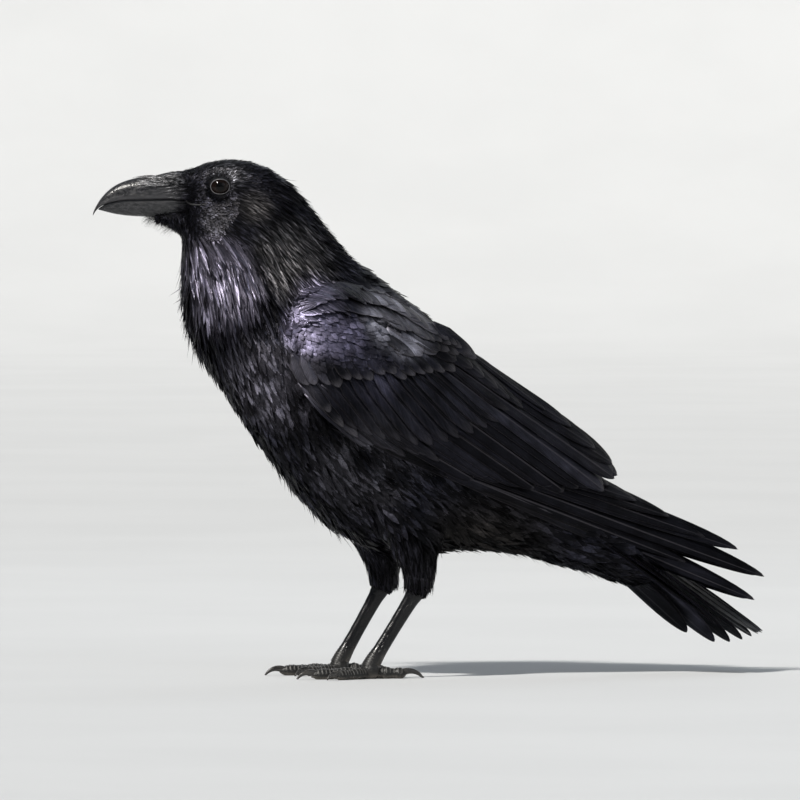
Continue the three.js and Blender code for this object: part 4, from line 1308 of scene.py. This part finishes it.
def makeWing(name, sign, skin):
    nodes = {part: f"wing_{name}_{part}" for part in ("coverts", "secondaries", "primaries")}
    cover = readSheet([nodes["coverts"], nodes["secondaries"]], sign)
    sheets = {
        "blade": readSheet([nodes["primaries"]], sign, cover),
        "cover": cover,
        "mantle": readSheet([nodes["coverts"], nodes["secondaries"], "trunk", "neck"], sign),
    }
    chance = np.random.default_rng(wingVariation["seed"])
    pieces = []
    for row, s in wingRows.items():
        flock = newFlock()
        count = s.get("count", len(s["tips"]))
        for i in range(count):
            share = i / (count - 1)
            tip = alongLine(s["tips"], share)
            if count == len(s["tips"]):
                tip = np.array(s["tips"][i], float)
            tip = tip + chance.normal(0, wingVariation["tip"], 2)
            spec = dict(s, root=alongLine(s["roots"], share), tip=tip)
            taper = 1 - s.get("taper", 0) * share
            for edge in ("upper", "lower"):
                spec[edge] = s[edge] * taper * (1 + chance.normal(0, wingVariation["width"]))
            for level in ("low", "high"):
                spec[level] = s[level] + s["stack"] * i
            layQuill(flock, spec, chance.random())
        points = sheetPoints(sheets[s["sheet"]], flock["points"])
        label = f"{s['finish']} {row}"
        material = bpy.data.materials.get(label) or featherMaterial(label)
        pieces.append(flockPiece(f"{row}_{name}", flock, points, skin, material))
    return pieces


# the folded tail, laid out as its solid is: each quill's length, and its tip's place to the side and down.
# The shares tell how much of that it has at its root, and how much is added towards its tip.
tailSettings = {
    "root": (-96, 145), "slope": 34.5, "roll": 12.0, "outer": 7.0, "inner": 14.0,
    "quills": [(199, 4, 2.5), (197.5, 10, 6), (194, 15.5, 10.5), (188, 21, 16), (179, 26, 21.5),
               (158, 30.5, 27)],
    "sideShares": (0.45, 0.55), "downShares": (0.55, 0.45),
    "droop": 0.45,  # how far the vanes hang outwards, on the deepest quill
    "underlap": 0.3,  # how much lower the right half lies
    "blunt": 0.74, "camber": 0.5, "seed": 5,
}


def tailPoints(spots):  # scene points of along, across and down the tail's ridge, in millimetres
    s = tailSettings
    slope = math.radians(s["slope"])
    along, across, down = np.array(spots).T
    roll = -math.radians(s["roll"]) * along / s["quills"][0][0]
    x = across * np.cos(roll) - down * np.sin(roll)
    fall = across * np.sin(roll) + down * np.cos(roll)
    forward = s["root"][0] - along * math.cos(slope) + fall * math.sin(slope)
    return place(forward, x, s["root"][1] - along * math.sin(slope) - fall * math.cos(slope))


def makeTail(skin):
    s = tailSettings
    chance = np.random.default_rng(s["seed"])
    flock = newFlock()
    deepest = s["quills"][-1][2]
    vane = {"upper": s["inner"], "lower": s["outer"], "low": 0, "high": 0, "tilt": 0.0, "blunt": s["blunt"],
            "camber": s["camber"]}
    for length, side, drop in s["quills"]:
        for lean in (1, -1):
            first = len(flock["points"])
            layQuill(flock, dict(vane, root=(0, 0), tip=(length, 0)), chance.random())
            for i in range(first, len(flock["points"])):
                along, out, height = flock["points"][i]
                share = along / length
                spread = side * (s["sideShares"][0] + s["sideShares"][1] * share)
                fall = drop * (s["downShares"][0] + s["downShares"][1] * share)
                fall = fall + out * drop / deepest * s["droop"] - height + (s["underlap"] if lean < 0 else 0)
                flock["points"][i] = (along, lean * (spread + out), fall)
    points = tailPoints(flock["points"])
    return flockPiece("tail_quills", flock, points, skin, featherMaterial("quill tail"))


# the bill: forward, top, bottom and half width along the head
billSettings = {
    "sides": 26, "rings": 70,
    "upper": [(178, 378.5, 357.5, 12.5), (196, 377, 360, 11.7), (209, 376.6, 360.1, 10.8),
              (221, 375.4, 359.9, 9.3), (231, 373, 359.5, 7.8), (239, 369.6, 358.4, 6.2),
              (245.5, 364.8, 356.6, 4.7), (250.7, 359, 353.9, 3.2), (254.2, 353.2, 350.2, 2),
              (256, 349, 347, 1.2), (256.4, 346.8, 345.8, 0.5)],
    "lower": [(178, 356.8, 344.6, 11.6), (196, 359.2, 344.4, 10.8), (209, 359.3, 344.7, 9.7),
              (221, 359.1, 345.1, 8.2), (231, 358.7, 345.8, 6.8), (239, 357.5, 346.9, 5.3),
              (245.5, 355.4, 348.4, 3.6), (250, 352.8, 349.6, 2), (252.3, 351, 350.2, 0.8)],
    "crowding": 0.35,  # rings lie closer together towards the tip
    "lip": {"upper": 0.6, "lower": -0.4},  # the cutting edge of the upper half overhangs the lower one
    "rim": {"upper": 0.02, "lower": 0.16},  # height of the widest line, as a share, from where they meet
    "overlap": {"upper": 0.9, "lower": 0.0},  # how far a half reaches past the line where they meet
    "breadth": 0.82, "fullness": 0.92,  # powers that square its section, across and up
    "mouth": 0.14,  # how far the inner face bulges
    "groove": 0.8,  # depth of the shallow channel above the cutting edge
    "grooveAt": 0.34, "grooveWidth": 0.12, "grooveEnd": (0.98, 0.7),
    "edgeWidth": 0.12,
}


def between(rows, share):  # smooth value of rows of numbers at a share of the way along them
    rows = np.asarray(rows, float)
    at = np.clip(share, 0, 1) * (len(rows) - 1)
    i = min(int(at), len(rows) - 2)
    t = at - i
    a, b, c, d = (rows[np.clip(k, 0, len(rows) - 1)] for k in (i - 1, i, i + 1, i + 2))
    return b + 0.5 * t * (c - a + t * (2 * a - 5 * b + 4 * c - d + t * (3 * (b - c) + d - a)))


def loft(rings):  # quads over rings of points, closed at both ends
    count = len(rings[0])
    faces = []
    for r in range(len(rings) - 1):
        for k in range(count):
            a, b = r * count + k, r * count + (k + 1) % count
            faces.append((a, b, b + count, a + count))
    faces.append(tuple(range(count))[::-1])
    faces.append(tuple((len(rings) - 1) * count + k for k in range(count)))
    return np.concatenate(rings), faces


def closedPiece(name, parts, material):  # closed shapes joined as one piece, faces outwards
    mesh = bpy.data.meshes.new(name)
    bm = bmesh.new()
    layers = {key: bm.verts.layers.float.new(key) for key in sorted(parts[0]["values"])}
    for part in parts:
        verts = [bm.verts.new(p) for p in part["points"]]
        for key, layer in layers.items():
            for vertex, value in zip(verts, part["values"][key]):
                vertex[layer] = value
        faces = [bm.faces.new([verts[i] for i in face]) for face in part["faces"]]
        bmesh.ops.recalc_face_normals(bm, faces=faces)
    bmesh.ops.remove_doubles(bm, verts=bm.verts, dist=1e-7)
    bm.to_mesh(mesh)
    bm.free()
    return finishPiece(name, mesh, material)


def billHalf(half):
    s = billSettings
    arch = 1 if half == "upper" else -1
    rings, along, edge = [], [], []
    for r in range(s["rings"]):
        share = r / (s["rings"] - 1)
        share = share * (1 + s["crowding"] - s["crowding"] * share) if share < 1 else 1
        forward, top, bottom, halfWidth = between(s[half], share)
        height = top - bottom
        turns = 2 * np.pi * (np.arange(s["sides"]) + 0.5) / s["sides"]
        rise, reach = np.sin(turns) * arch, np.cos(turns)
        outer = rise > 0
        squared = np.abs(reach) ** s["breadth"] * np.sign(reach)
        level = np.where(outer, np.abs(rise) ** s["fullness"], -s["mouth"] * np.abs(rise))
        base = bottom - s["overlap"][half] * (1 - share ** 6) if arch > 0 else top
        lift = s["rim"][half] * height * arch
        up = base + lift + level * (height - abs(lift)) * arch
        offset = (np.clip(level, 0, 1) - s["grooveAt"]) / s["grooveWidth"]
        channel = np.exp(-offset ** 2) * outer * (arch > 0) * smoothStep(*s["grooveEnd"], share)
        side = squared * (halfWidth + s["lip"][half] - s["groove"] * channel)
        rings.append(turned(place(forward, side, up), 1.0))
        along += [share] * s["sides"]
        edge += list(np.where(outer, np.exp(-(level / s["edgeWidth"]) ** 2), 1.0))
    points, faces = loft(rings)
    return {"points": points, "faces": faces, "values": {"along": along, "edge": edge}}


def hornMaterial(name, color, edgeColor, rough):
    material, tree, shader = newMaterial(name)
    coords = objectCoords(tree)
    stretched = addNode(tree, "ShaderNodeMapping", {"Vector": coords, "Scale": (900.0, 90.0, 700.0)})
    streaks, blotches = noise(tree, stretched.outputs[0], 1.0, 3.0), noise(tree, coords, 160.0, 4.0)
    base = mixColor(tree, mapRange(tree, streaks, 0.35, 0.7, 0, 0.9), color, edgeColor)
    share = mathNode(tree, "MULTIPLY", attribute(tree, "edge"), 0.7, clamp=True)
    base = mixColor(tree, share, base, edgeColor)
    worn = mathNode(tree, "MULTIPLY", mapRange(tree, blotches, 0.52, 0.72), 0.35)
    polish = mapRange(tree, blotches, 0.3, 0.7, rough - 0.06, rough + 0.12)
    setInputs(tree, shader, {
        "Base Color": mixColor(tree, worn, base, (0.03, 0.028, 0.026)),
        "Roughness": mathNode(tree, "MULTIPLY_ADD", share, 0.35, polish), "Specular IOR Level": 0.5,
    })
    height = mathNode(tree, "ADD", streaks, mathNode(tree, "MULTIPLY", blotches, 1.4))
    addBump(tree, shader, height, 0.6, 0.0004)
    return material


# the eye: place along the unturned head, as the solid has it
eyeSettings = {
    "middle": (161.8, 13.9, 367.6), "radius": 9.0, "iris": 5.8, "pupil": 2.9, "rings": 22, "sides": 40,
    "bulge": 0.5, "bulgeReach": 1.05,  # the clear front stands out this far, over that much of the iris
    "hidden": 7.4,  # radius past which the ball is cut away
    "parting": 12.5, "parted": 8.0, "dwarfing": 0.45,  # the coat turns aside and grows smaller in between
    "coatStarts": (6.6, 7.3),  # where it begins, and where it is whole
}
lidSettings = {
    "sides": 136, "profile": 10,
    "opening": 6.5, "width": 2.2,  # radius that the lids leave free, and their breadth
    "slant": 0.86,  # height of the opening as a share of its width
    "almond": 0.05, "beads": 30, "beadHeight": 0.16,  # small folds round the rim
    "stand": 0.1, "fullness": 0.55, "rimRise": 0.35, "outerFall": 1.6,
}


def eyeParts(sign):
    s = eyeSettings
    forward, side, up = s["middle"]
    rings, shade = [], []
    for r in range(s["rings"] + 1):
        tilt = math.pi * (r + 0.2) / (s["rings"] + 0.4)
        out, reach = s["radius"] * math.cos(tilt), min(s["radius"] * math.sin(tilt), s["hidden"])
        bulge = s["bulge"] * max(0, 1 - (reach / (s["iris"] * s["bulgeReach"])) ** 2) if out > 0 else 0
        turns = 2 * np.pi * np.arange(s["sides"]) / s["sides"]
        across = sign * (side + out + bulge)
        ring = place(forward + reach * np.cos(turns), across, up + reach * np.sin(turns))
        rings.append(turned(ring, 1.0))
        shade += [reach if out > 0 else s["radius"]] * s["sides"]
    points, faces = loft(rings)
    return {"points": points, "faces": faces, "values": {"fromPupil": shade}}


def lidParts(sign):
    s = lidSettings
    radius = eyeSettings["radius"]
    forward, side, up = eyeSettings["middle"]
    sides, profile = s["sides"], s["profile"]
    rings, rim, faces = [], [], []
    for k in range(sides):
        turn = 2 * math.pi * k / sides
        bead = s["beadHeight"] * (0.5 + 0.5 * math.cos(turn * s["beads"]))
        almond = 1 + s["almond"] * math.cos(2 * turn)
        squash = s["slant"] + (1 - s["slant"]) * math.cos(turn) ** 2
        ring = []
        for i in range(profile):
            a = 2 * math.pi * i / profile
            spread = 0.5 - 0.5 * math.cos(a)
            reach = s["opening"] * almond * squash + s["width"] * spread
            out = math.sqrt(max(radius ** 2 - min(reach, radius * 0.94) ** 2, 0))
            swell = (s["fullness"] + bead) * (1 - 0.5 * spread) * math.sin(a)
            swell = swell + s["rimRise"] - s["outerFall"] * spread
            out = side + out + s["stand"] + swell
            ring.append((forward + reach * math.cos(turn), sign * out, up + reach * math.sin(turn)))
            rim.append(spread)
            a, b = k * profile + i, k * profile + (i + 1) % profile
            c, d = ((k + 1) % sides) * profile + (i + 1) % profile, ((k + 1) % sides) * profile + i
            faces.append((a, b, c, d))
        rings.append(turned(place(*np.array(ring).T), 1.0))
    return {"points": np.concatenate(rings), "faces": faces, "values": {"rim": rim}}


def eyeMaterial():
    material, tree, shader = newMaterial("wet eye")
    s = eyeSettings
    reach = attribute(tree, "fromPupil")
    fibres = mapRange(tree, noise(tree, objectCoords(tree), 1400.0, 3.0), 0.35, 0.65)
    iris = mixColor(tree, fibres, (0.004, 0.0022, 0.0018), (0.009, 0.0045, 0.003))
    color = mixColor(tree, mapRange(tree, reach, s["pupil"], s["pupil"] + 0.4), (0.001, 0.001, 0.001), iris)
    color = mixColor(tree, mapRange(tree, reach, s["iris"], s["iris"] + 0.8), color, (0.004, 0.003, 0.003))
    setInputs(tree, shader, {
        "Base Color": color, "Roughness": 0.05, "Specular IOR Level": 0.12,
        "Coat Weight": 0.12, "Coat Roughness": 0.02,
    })
    return material


def lidMaterial():
    material, tree, shader = newMaterial("eyelid")
    cells = {"Vector": objectCoords(tree), "Scale": 1500.0}
    folds = addNode(tree, "ShaderNodeTexVoronoi", cells).outputs["Distance"]
    inner = mapRange(tree, attribute(tree, "rim"), 0.1, 0.3, 1, 0)
    color = mixColor(tree, inner, (0.005, 0.005, 0.006), (0.2, 0.195, 0.205))
    crease = mapRange(tree, folds, 0.1, 0.6, 1.0, 0.6)
    setInputs(tree, shader, {"Base Color": shaded(tree, color, crease), "Roughness": 0.42})
    addBump(tree, shader, folds, 0.4, 0.0002)
    return material


# stiff bristles: where they start and end along the unturned head, how many, and how far they bend
bristleSets = {
    "nasal": {"roots": [(180, 208), (1, 16), (361, 383)], "length": (11, 20), "lie": (1.0, 0.0, 0.03),
              "count": 900, "radius": 0.22, "spread": 0.07, "lift": 0.7, "hugs": True},
    "rictal": {"roots": [(174, 189), (11, 19), (346, 363)], "length": (7, 14), "lie": (1.0, 0.0, -0.12),
               "count": 420, "radius": 0.16, "spread": 0.12, "lift": 0.5, "hugs": True},
    "chin": {"roots": [(192, 218), (0, 9), (338, 346)], "length": (6, 11), "lie": (0.45, 0.02, -0.65),
             "count": 220, "radius": 0.13, "spread": 0.3, "lift": 0.5, "hugs": False},
}
bristleBuild = {"steps": 5, "taper": 0.7, "tipRadius": 0.03, "corners": (0.5, 2.6, 4.7), "seed": 23}


def bristleParts(skin):
    b = bristleBuild
    chance = np.random.default_rng(b["seed"])
    parts = []
    horn, flesh = BVHTree.FromPolygons(*billSurface()), surfaceTree(skin.data)
    corners = [Vector((math.cos(turn), 0.0, math.sin(turn))) for turn in b["corners"]]
    axis = (birdFrame["neckAxisForward"], 0, 0)
    for s in bristleSets.values():
        (f0, f1), (s0, s1), (u0, u1) = s["roots"]
        for _ in range(s["count"]):
            sign = chance.choice((-1, 1))
            start = (chance.uniform(f0, f1), sign * chance.uniform(s0, s1), chance.uniform(u0, u1))
            start = flesh.find_nearest(Vector(turned(place(*start), 1.0)))[0]
            length = chance.uniform(*s["length"]) * mm
            heading = np.array(s["lie"]) * (1, sign, 1) + chance.normal(0, s["spread"], 3)
            heading = turned(place(*heading * 10 + axis), 1.0)
            heading = Vector(heading - place(*axis)).normalized()
            rings, along = [], []
            for i in range(b["steps"] + 1):
                share = i / b["steps"]
                middle = start + heading * length * share
                hits = (tree.find_nearest(middle) for tree in (horn, flesh))
                near, normal, _, _ = min(hits, key=lambda hit: hit[3])
                clear = s["lift"] * (0.4 + share) * mm
                if clear > (middle - near).dot(normal) or s["hugs"]:  # pushed out, or pressed down
                    middle = near + normal * clear
                radius = s["radius"] * mm * (1 - share) ** b["taper"] + b["tipRadius"] * mm
                rings.append(np.array([middle + corner * radius for corner in corners]))
                along += [share] * len(corners)
            points, faces = loft(rings)
            shade = [chance.random()] * len(points)
            parts.append({"points": points, "faces": faces, "values": {"along": along, "shade": shade}})
    return parts


# the edge of the gape, running back from the bill's corner over the cheek
gapeSettings = {
    "from": (190, 14, 357.0), "to": (167, 20, 352.6), "radius": 0.8, "tipRadius": 0.04,
    "steps": 16, "sides": 8, "sag": 1.2, "lift": 0.9,
}


def gapePart(skin, sign):
    s = gapeSettings
    tree = surfaceTree(skin.data)
    start, end = (np.array(s[key]) * (1, sign, 1) for key in ("from", "to"))
    turns = [2 * math.pi * k / s["sides"] for k in range(s["sides"])]
    rings, edge = [], []
    for i in range(s["steps"] + 1):
        share = i / s["steps"]
        spot = start + (end - start) * share - (0, 0, s["sag"] * math.sin(math.pi * share))
        near, outward, _, _ = tree.find_nearest(Vector(turned(place(*spot), 1.0)))
        radius = s["radius"] * mm * (1 - share ** 3) + s["tipRadius"] * mm
        middle = near + outward * (s["lift"] * mm * (1 - share))
        rings.append(np.array([
            middle + outward * math.cos(t) * radius + Vector((0, 0, math.sin(t) * radius)) for t in turns]))
        edge += [1.0] * s["sides"]
    points, faces = loft(rings)
    return {"points": points, "faces": faces, "values": {"rim": edge}}


def billSurface():
    halves = [billHalf("upper"), billHalf("lower")]
    points = [Vector(point) for h in halves for point in h["points"]]
    offset = len(halves[0]["points"])
    return points, halves[0]["faces"] + [tuple(i + offset for i in face) for face in halves[1]["faces"]]


def makeHead(skin):
    horn = hornMaterial("bill horn", (0.006, 0.0065, 0.008), (0.045, 0.044, 0.048), 0.27)
    lid, wet = lidMaterial(), eyeMaterial()
    pieces = []
    for half in ("upper", "lower"):
        piece = closedPiece(half + "_bill_horn", [billHalf(half)], horn)
        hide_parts(half + "_bill")
        pieces.append(piece)
    pieces.append(closedPiece("gape", [gapePart(skin, 1), gapePart(skin, -1)], lid))
    for name, sign in (("left", 1), ("right", -1)):
        eye = closedPiece("eyeball_" + name, [eyeParts(sign)], wet)
        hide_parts("eye_" + name)
        pieces += [eye, closedPiece("eyelids_" + name, [lidParts(sign)], lid)]
    bristles = closedPiece("bristles", bristleParts(skin), featherMaterial("bristly bristles"))
    mapOnSkin(bristles.data, skin)
    return [*pieces, bristles]


# legs: the places of heel and toe joint, and the sections of tarsus and toes, as their solids have them
legSettings = {
    "spread": 33.0, "jointUp": 9.5,
    "feet": {"left": (18, 67.5, 55), "right": (28, 67.5, 61.5)},  # heel forward and up, joint forward
    "tarsus": [(-0.04, 5.6, 4.8), (0.06, 6.8, 5.0), (0.2, 5.7, 4.0), (0.5, 5.2, 3.7), (0.78, 5.4, 4.0),
               (0.93, 6.2, 5.5), (1.03, 6.3, 6.6)],  # share of the way down, depth, width
    "tarsusLength": 69, "tarsusRings": 90, "tarsusSides": 32,
    "toes": [(1, 176, 27, 4.6, 19), (2, -27, 34, 4.3, 16), (3, 2, 46, 4.5, 16.5),
             (4, 30, 36, 4.2, 14)],  # number, heading, length, radius, claw
    "toeRings": 2.4, "toeSides": 22,  # rings for each millimetre of its length
    "toeStart": 1.5, "toeSink": 0.55, "toeTaper": 0.2,
    "padRadius": 7.5, "padHeight": 7.0, "padSwell": 0.12, "padWobble": 0.03, "padRings": 18, "padSides": 36,
}
scuteSettings = {
    "pitch": 3.0, "toeRise": 0.5,
    "shank": {"pitch": 6.5, "rise": 0.16},  # long smooth plates down the shank
    "ankle": {"pitch": 3.0, "rise": 0.4},  # and short ones over its lower end
    "ankleStarts": 0.72, "crease": 0.35,  # the crease runs down both sides
}
clawSettings = {
    "sink": 2.6, "bend": 1.5, "start": 0.42, "rings": 30, "sides": 18,
    "thickness": 0.56, "taper": 0.94, "tip": 0.2, "width": 0.8, "floorGap": 0.25,
    "groove": 0.12, "grooveAt": 0.75, "grooveWidth": 0.12,
}


def tubePart(centres, depths, widths, across, sides, bumps):  # bumps gives what each ring's points rise
    centres = np.array(centres, float)
    runs = unit(np.gradient(centres, axis=0))
    turns = 2 * np.pi * (np.arange(sides) + 0.5) / sides
    rings, top = [], []
    for i, (centre, run) in enumerate(zip(centres, runs)):
        upright = np.cross(run, across)
        upright *= np.sign(upright[2]) if abs(upright[2]) > 1e-6 else 1
        upright = unit(upright)
        swell = bumps(i, np.sin(turns))
        ring = centre + np.outer(np.cos(turns) * (widths[i] + swell), across)
        ring = ring + np.outer(np.sin(turns) * (depths[i] + swell), upright)
        rings.append(ring)
        top += list(np.sin(turns))
    points, faces = loft(rings)
    return points, faces, top


def scuteProfile(distance, pitch):  # rises along each overlapping plate and drops at its edge
    phase = (distance / pitch) % 1
    return phase * smoothStep(1.0, 0.86, phase)


def toeAxes(heading, sign):
    turn = math.radians(heading)
    along = np.array([sign * math.sin(turn), -math.cos(turn), 0])
    return along, np.array([-along[1], along[0], 0])


def toePart(toe, sign, foot):
    s, scutes = legSettings, scuteSettings
    _, heading, length, radius, _ = toe
    along, across = toeAxes(heading, sign)
    joint = place(foot[2], sign * s["spread"], 0)
    count = int(length * s["toeRings"])
    centres, depths, widths, edges = [], [], [], []
    for i in range(count):
        share = i / (count - 1)
        pads = 1 + 0.13 * math.cos(share * math.pi * 5)
        blunt = math.sqrt(max(1 - (max(share - 0.86, 0) / 0.15) ** 2, 0.004))
        size = radius * (1 - s["toeTaper"] * share) * pads * blunt
        middle = joint + along * (s["toeStart"] + (length - s["toeStart"]) * share) * mm
        middle[2] = (radius * (1 - s["toeTaper"] * share) * 1.09 - s["toeSink"]) * mm
        centres.append(middle)
        depths.append(size * mm)
        widths.append(size * 0.95 * mm)

    def bumps(i, level):
        share = i / (count - 1)
        distance = s["toeStart"] + (length - s["toeStart"]) * share
        fade = smoothStep(1.0, 0.88, share)
        plates = scuteProfile(distance, scutes["pitch"]) * scutes["toeRise"]
        plates = plates * smoothStep(-0.35, 0.15, level) * fade
        pads = s["padSwell"] * np.cos(distance * 1.9) * smoothStep(0.0, -0.6, level) * fade
        edges.append(plates / scutes["toeRise"])
        return (plates + pads) * mm

    points, faces, top = tubePart(centres, depths, widths, across, s["toeSides"], bumps)
    points[:, 2] = np.maximum(points[:, 2], 0)
    return {"points": points, "faces": faces, "values": {"top": top, "edge": np.concatenate(edges)}}


def clawPart(toe, sign, foot):
    c = clawSettings
    _, heading, length, radius, claw = toe
    along, across = toeAxes(heading, sign)
    root = place(foot[2], sign * legSettings["spread"], 0) + along * (length - c["sink"]) * mm
    start, arc = c["start"], claw / c["bend"]
    centres, depths, widths = [], [], []
    for i in range(c["rings"]):
        share = i / (c["rings"] - 1)
        angle = c["bend"] * share
        size = radius * c["thickness"] * (1 - c["taper"] * share) ** 0.8 + c["tip"]
        middle = root + along * arc * (math.sin(angle - start) + math.sin(start)) * mm
        up = radius * 0.8 + 0.8 + arc * (math.cos(angle - start) - math.cos(start))
        middle[2] = max(up, size + c["floorGap"]) * mm
        centres.append(middle)
        depths.append(size * mm)
        widths.append(size * c["width"] * mm)

    def groove(i, level):  # along its underside
        return -c["groove"] * depths[i] * np.exp(-((level + c["grooveAt"]) / c["grooveWidth"]) ** 2)

    points, faces, top = tubePart(centres, depths, widths, across, c["sides"], groove)
    return {"points": points, "faces": faces, "values": {"edge": np.clip(-np.array(top), 0, 1) ** 3}}


def tarsusPart(sign, foot):
    s, scutes = legSettings, scuteSettings
    heel, heelUp, joint = foot
    count = s["tarsusRings"]
    centres, depths, widths, edges = [], [], [], []
    for i in range(count):
        share, depth, width = between(s["tarsus"], i / (count - 1))
        forward, up = heel + (joint - heel) * share, heelUp + (s["jointUp"] - heelUp) * share
        centres.append(place(forward, sign * s["spread"], up))
        depths.append(depth * mm)
        widths.append(width * mm)

    def bumps(i, level):
        share = i / (count - 1)
        row = scutes["shank" if share < scutes["ankleStarts"] else "ankle"]
        plates = scuteProfile(share * s["tarsusLength"], row["pitch"]) * row["rise"]
        plates = plates * smoothStep(-0.1, 0.4, level)
        crease = -scutes["crease"] * np.exp(-((level + 0.1) / 0.16) ** 2) * smoothStep(0.9, 0.7, share)
        edges.append(plates / scutes["ankle"]["rise"])
        return (plates + crease) * mm

    points, faces, top = tubePart(centres, depths, widths, np.array([1.0, 0, 0]), s["tarsusSides"], bumps)
    return {"points": points, "faces": faces, "values": {"top": top, "edge": np.concatenate(edges)}}


def padPart(sign, foot):
    s = legSettings
    rings, top = [], []
    turns = 2 * np.pi * np.arange(s["padSides"]) / s["padSides"]
    for r in range(s["padRings"] + 1):
        tilt = math.pi * (r + 0.15) / (s["padRings"] + 0.3)
        reach = s["padRadius"] * math.sin(tilt)
        wobble = 1 + s["padWobble"] * np.cos(turns * 9)
        forward = foot[2] + reach * np.cos(turns) * wobble
        side = sign * s["spread"] + reach * np.sin(turns) * wobble
        ring = place(forward, side, s["padHeight"] - s["toeSink"] + s["padHeight"] * math.cos(tilt))
        ring[:, 2] = np.maximum(ring[:, 2], 0)
        rings.append(ring)
        top += [math.cos(tilt)] * s["padSides"]
    points, faces = loft(rings)
    return {"points": points, "faces": faces, "values": {"top": top, "edge": [0.3] * len(points)}}


def legMaterial():
    material, tree, shader = newMaterial("leg scales")
    coords = objectCoords(tree)
    top = attribute(tree, "top")
    cells = {"Vector": coords, "Scale": 620.0}
    cells = addNode(tree, "ShaderNodeTexVoronoi", cells, feature="DISTANCE_TO_EDGE").outputs["Distance"]
    dust = mapRange(tree, noise(tree, coords, 220.0, 4.0), 0.35, 0.65)
    height = addNode(tree, "ShaderNodeSeparateXYZ", {0: coords}).outputs["Z"]
    low = mapRange(tree, height, 0.026, 0.008)
    beneath = mathNode(tree, "MULTIPLY", mapRange(tree, top, -0.1, -0.7), low)
    worn = mathNode(tree, "MULTIPLY", mapRange(tree, attribute(tree, "edge"), 0.55, 1.0), low)
    dusty = mathNode(tree, "MULTIPLY", low, 0.8)
    scale = mixColor(tree, dusty, (0.005, 0.005, 0.006), (0.018, 0.0175, 0.017))
    scale = mixColor(tree, mathNode(tree, "MULTIPLY", worn, 0.9), scale, (0.26, 0.25, 0.235))
    color = mixColor(tree, beneath, scale, mixColor(tree, dust, (0.075, 0.068, 0.06), (0.13, 0.115, 0.1)))
    seamed = mapRange(tree, top, 0.5, 0.1, 0.1, 0.9)  # the plates on top show no cells
    seam = mapRange(tree, cells, 0.0, 0.09, 0.45, 1.0)
    setInputs(tree, shader, {
        "Base Color": mixColor(tree, seamed, color, shaded(tree, color, seam)),
        "Roughness": mathNode(tree, "MULTIPLY_ADD", low, 0.22, 0.22), "Specular IOR Level": 0.34,
    })
    height = mathNode(tree, "MULTIPLY", mapRange(tree, cells, 0.0, 0.12), seamed)
    addBump(tree, shader, height, 0.6, 0.00035)
    return material


def makeLegs():
    scales = legMaterial()
    horn = hornMaterial("claw horn", (0.014, 0.013, 0.013), (0.06, 0.055, 0.05), 0.26)
    pieces = []
    for name, sign in (("left", 1), ("right", -1)):
        foot = legSettings["feet"][name]
        parts = [tarsusPart(sign, foot), padPart(sign, foot)]
        tarsus = closedPiece("shank_" + name, parts, scales)
        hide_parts("tarsus_" + name)
        pieces.append(tarsus)
        for toe in legSettings["toes"]:
            label = f"{name}_{toe[0]}"
            scaly = closedPiece("toe_scales_" + label, [toePart(toe, sign, foot)], scales)
            sharp = closedPiece("claw_horn_" + label, [clawPart(toe, sign, foot)], horn)
            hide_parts("toe_" + label)
            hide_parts("claw_" + label)
            pieces += [scaly, sharp]
    return pieces


shared = {"tint": plumageTintGroup(), "barbs": barbsGroup()}
makeCamera()
makeLights()
makeFloor()
skin = makeSkin()
templates = {kind: vaneTemplate(kind) for kind in vaneShapes}
tree = coatTree()
pieces = [skin, *[growCoat(name, skin, tree, templates, seed) for seed, name in enumerate(coats)]]
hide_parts(*skinSettings["body"], *(node for wing in skinSettings["wings"] for node in wing))
for name, sign in (("left", 1), ("right", -1)):
    rows = makeWing(name, sign, skin)
    for piece in rows:
        part = "primaries" if "primaries" in piece.name else "secondaries"
        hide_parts(f"wing_{name}_{part}")
    pieces += rows
tailPiece = makeTail(skin)
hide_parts("tail")
pieces += [tailPiece, *makeHead(skin), *makeLegs(), *makePlumes(skin)]
for piece in pieces:
    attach(piece, "root")

corners = {"cad": cadBounds, "visual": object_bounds()}
{name: [list(corner) for corner in box] for name, box in corners.items()}
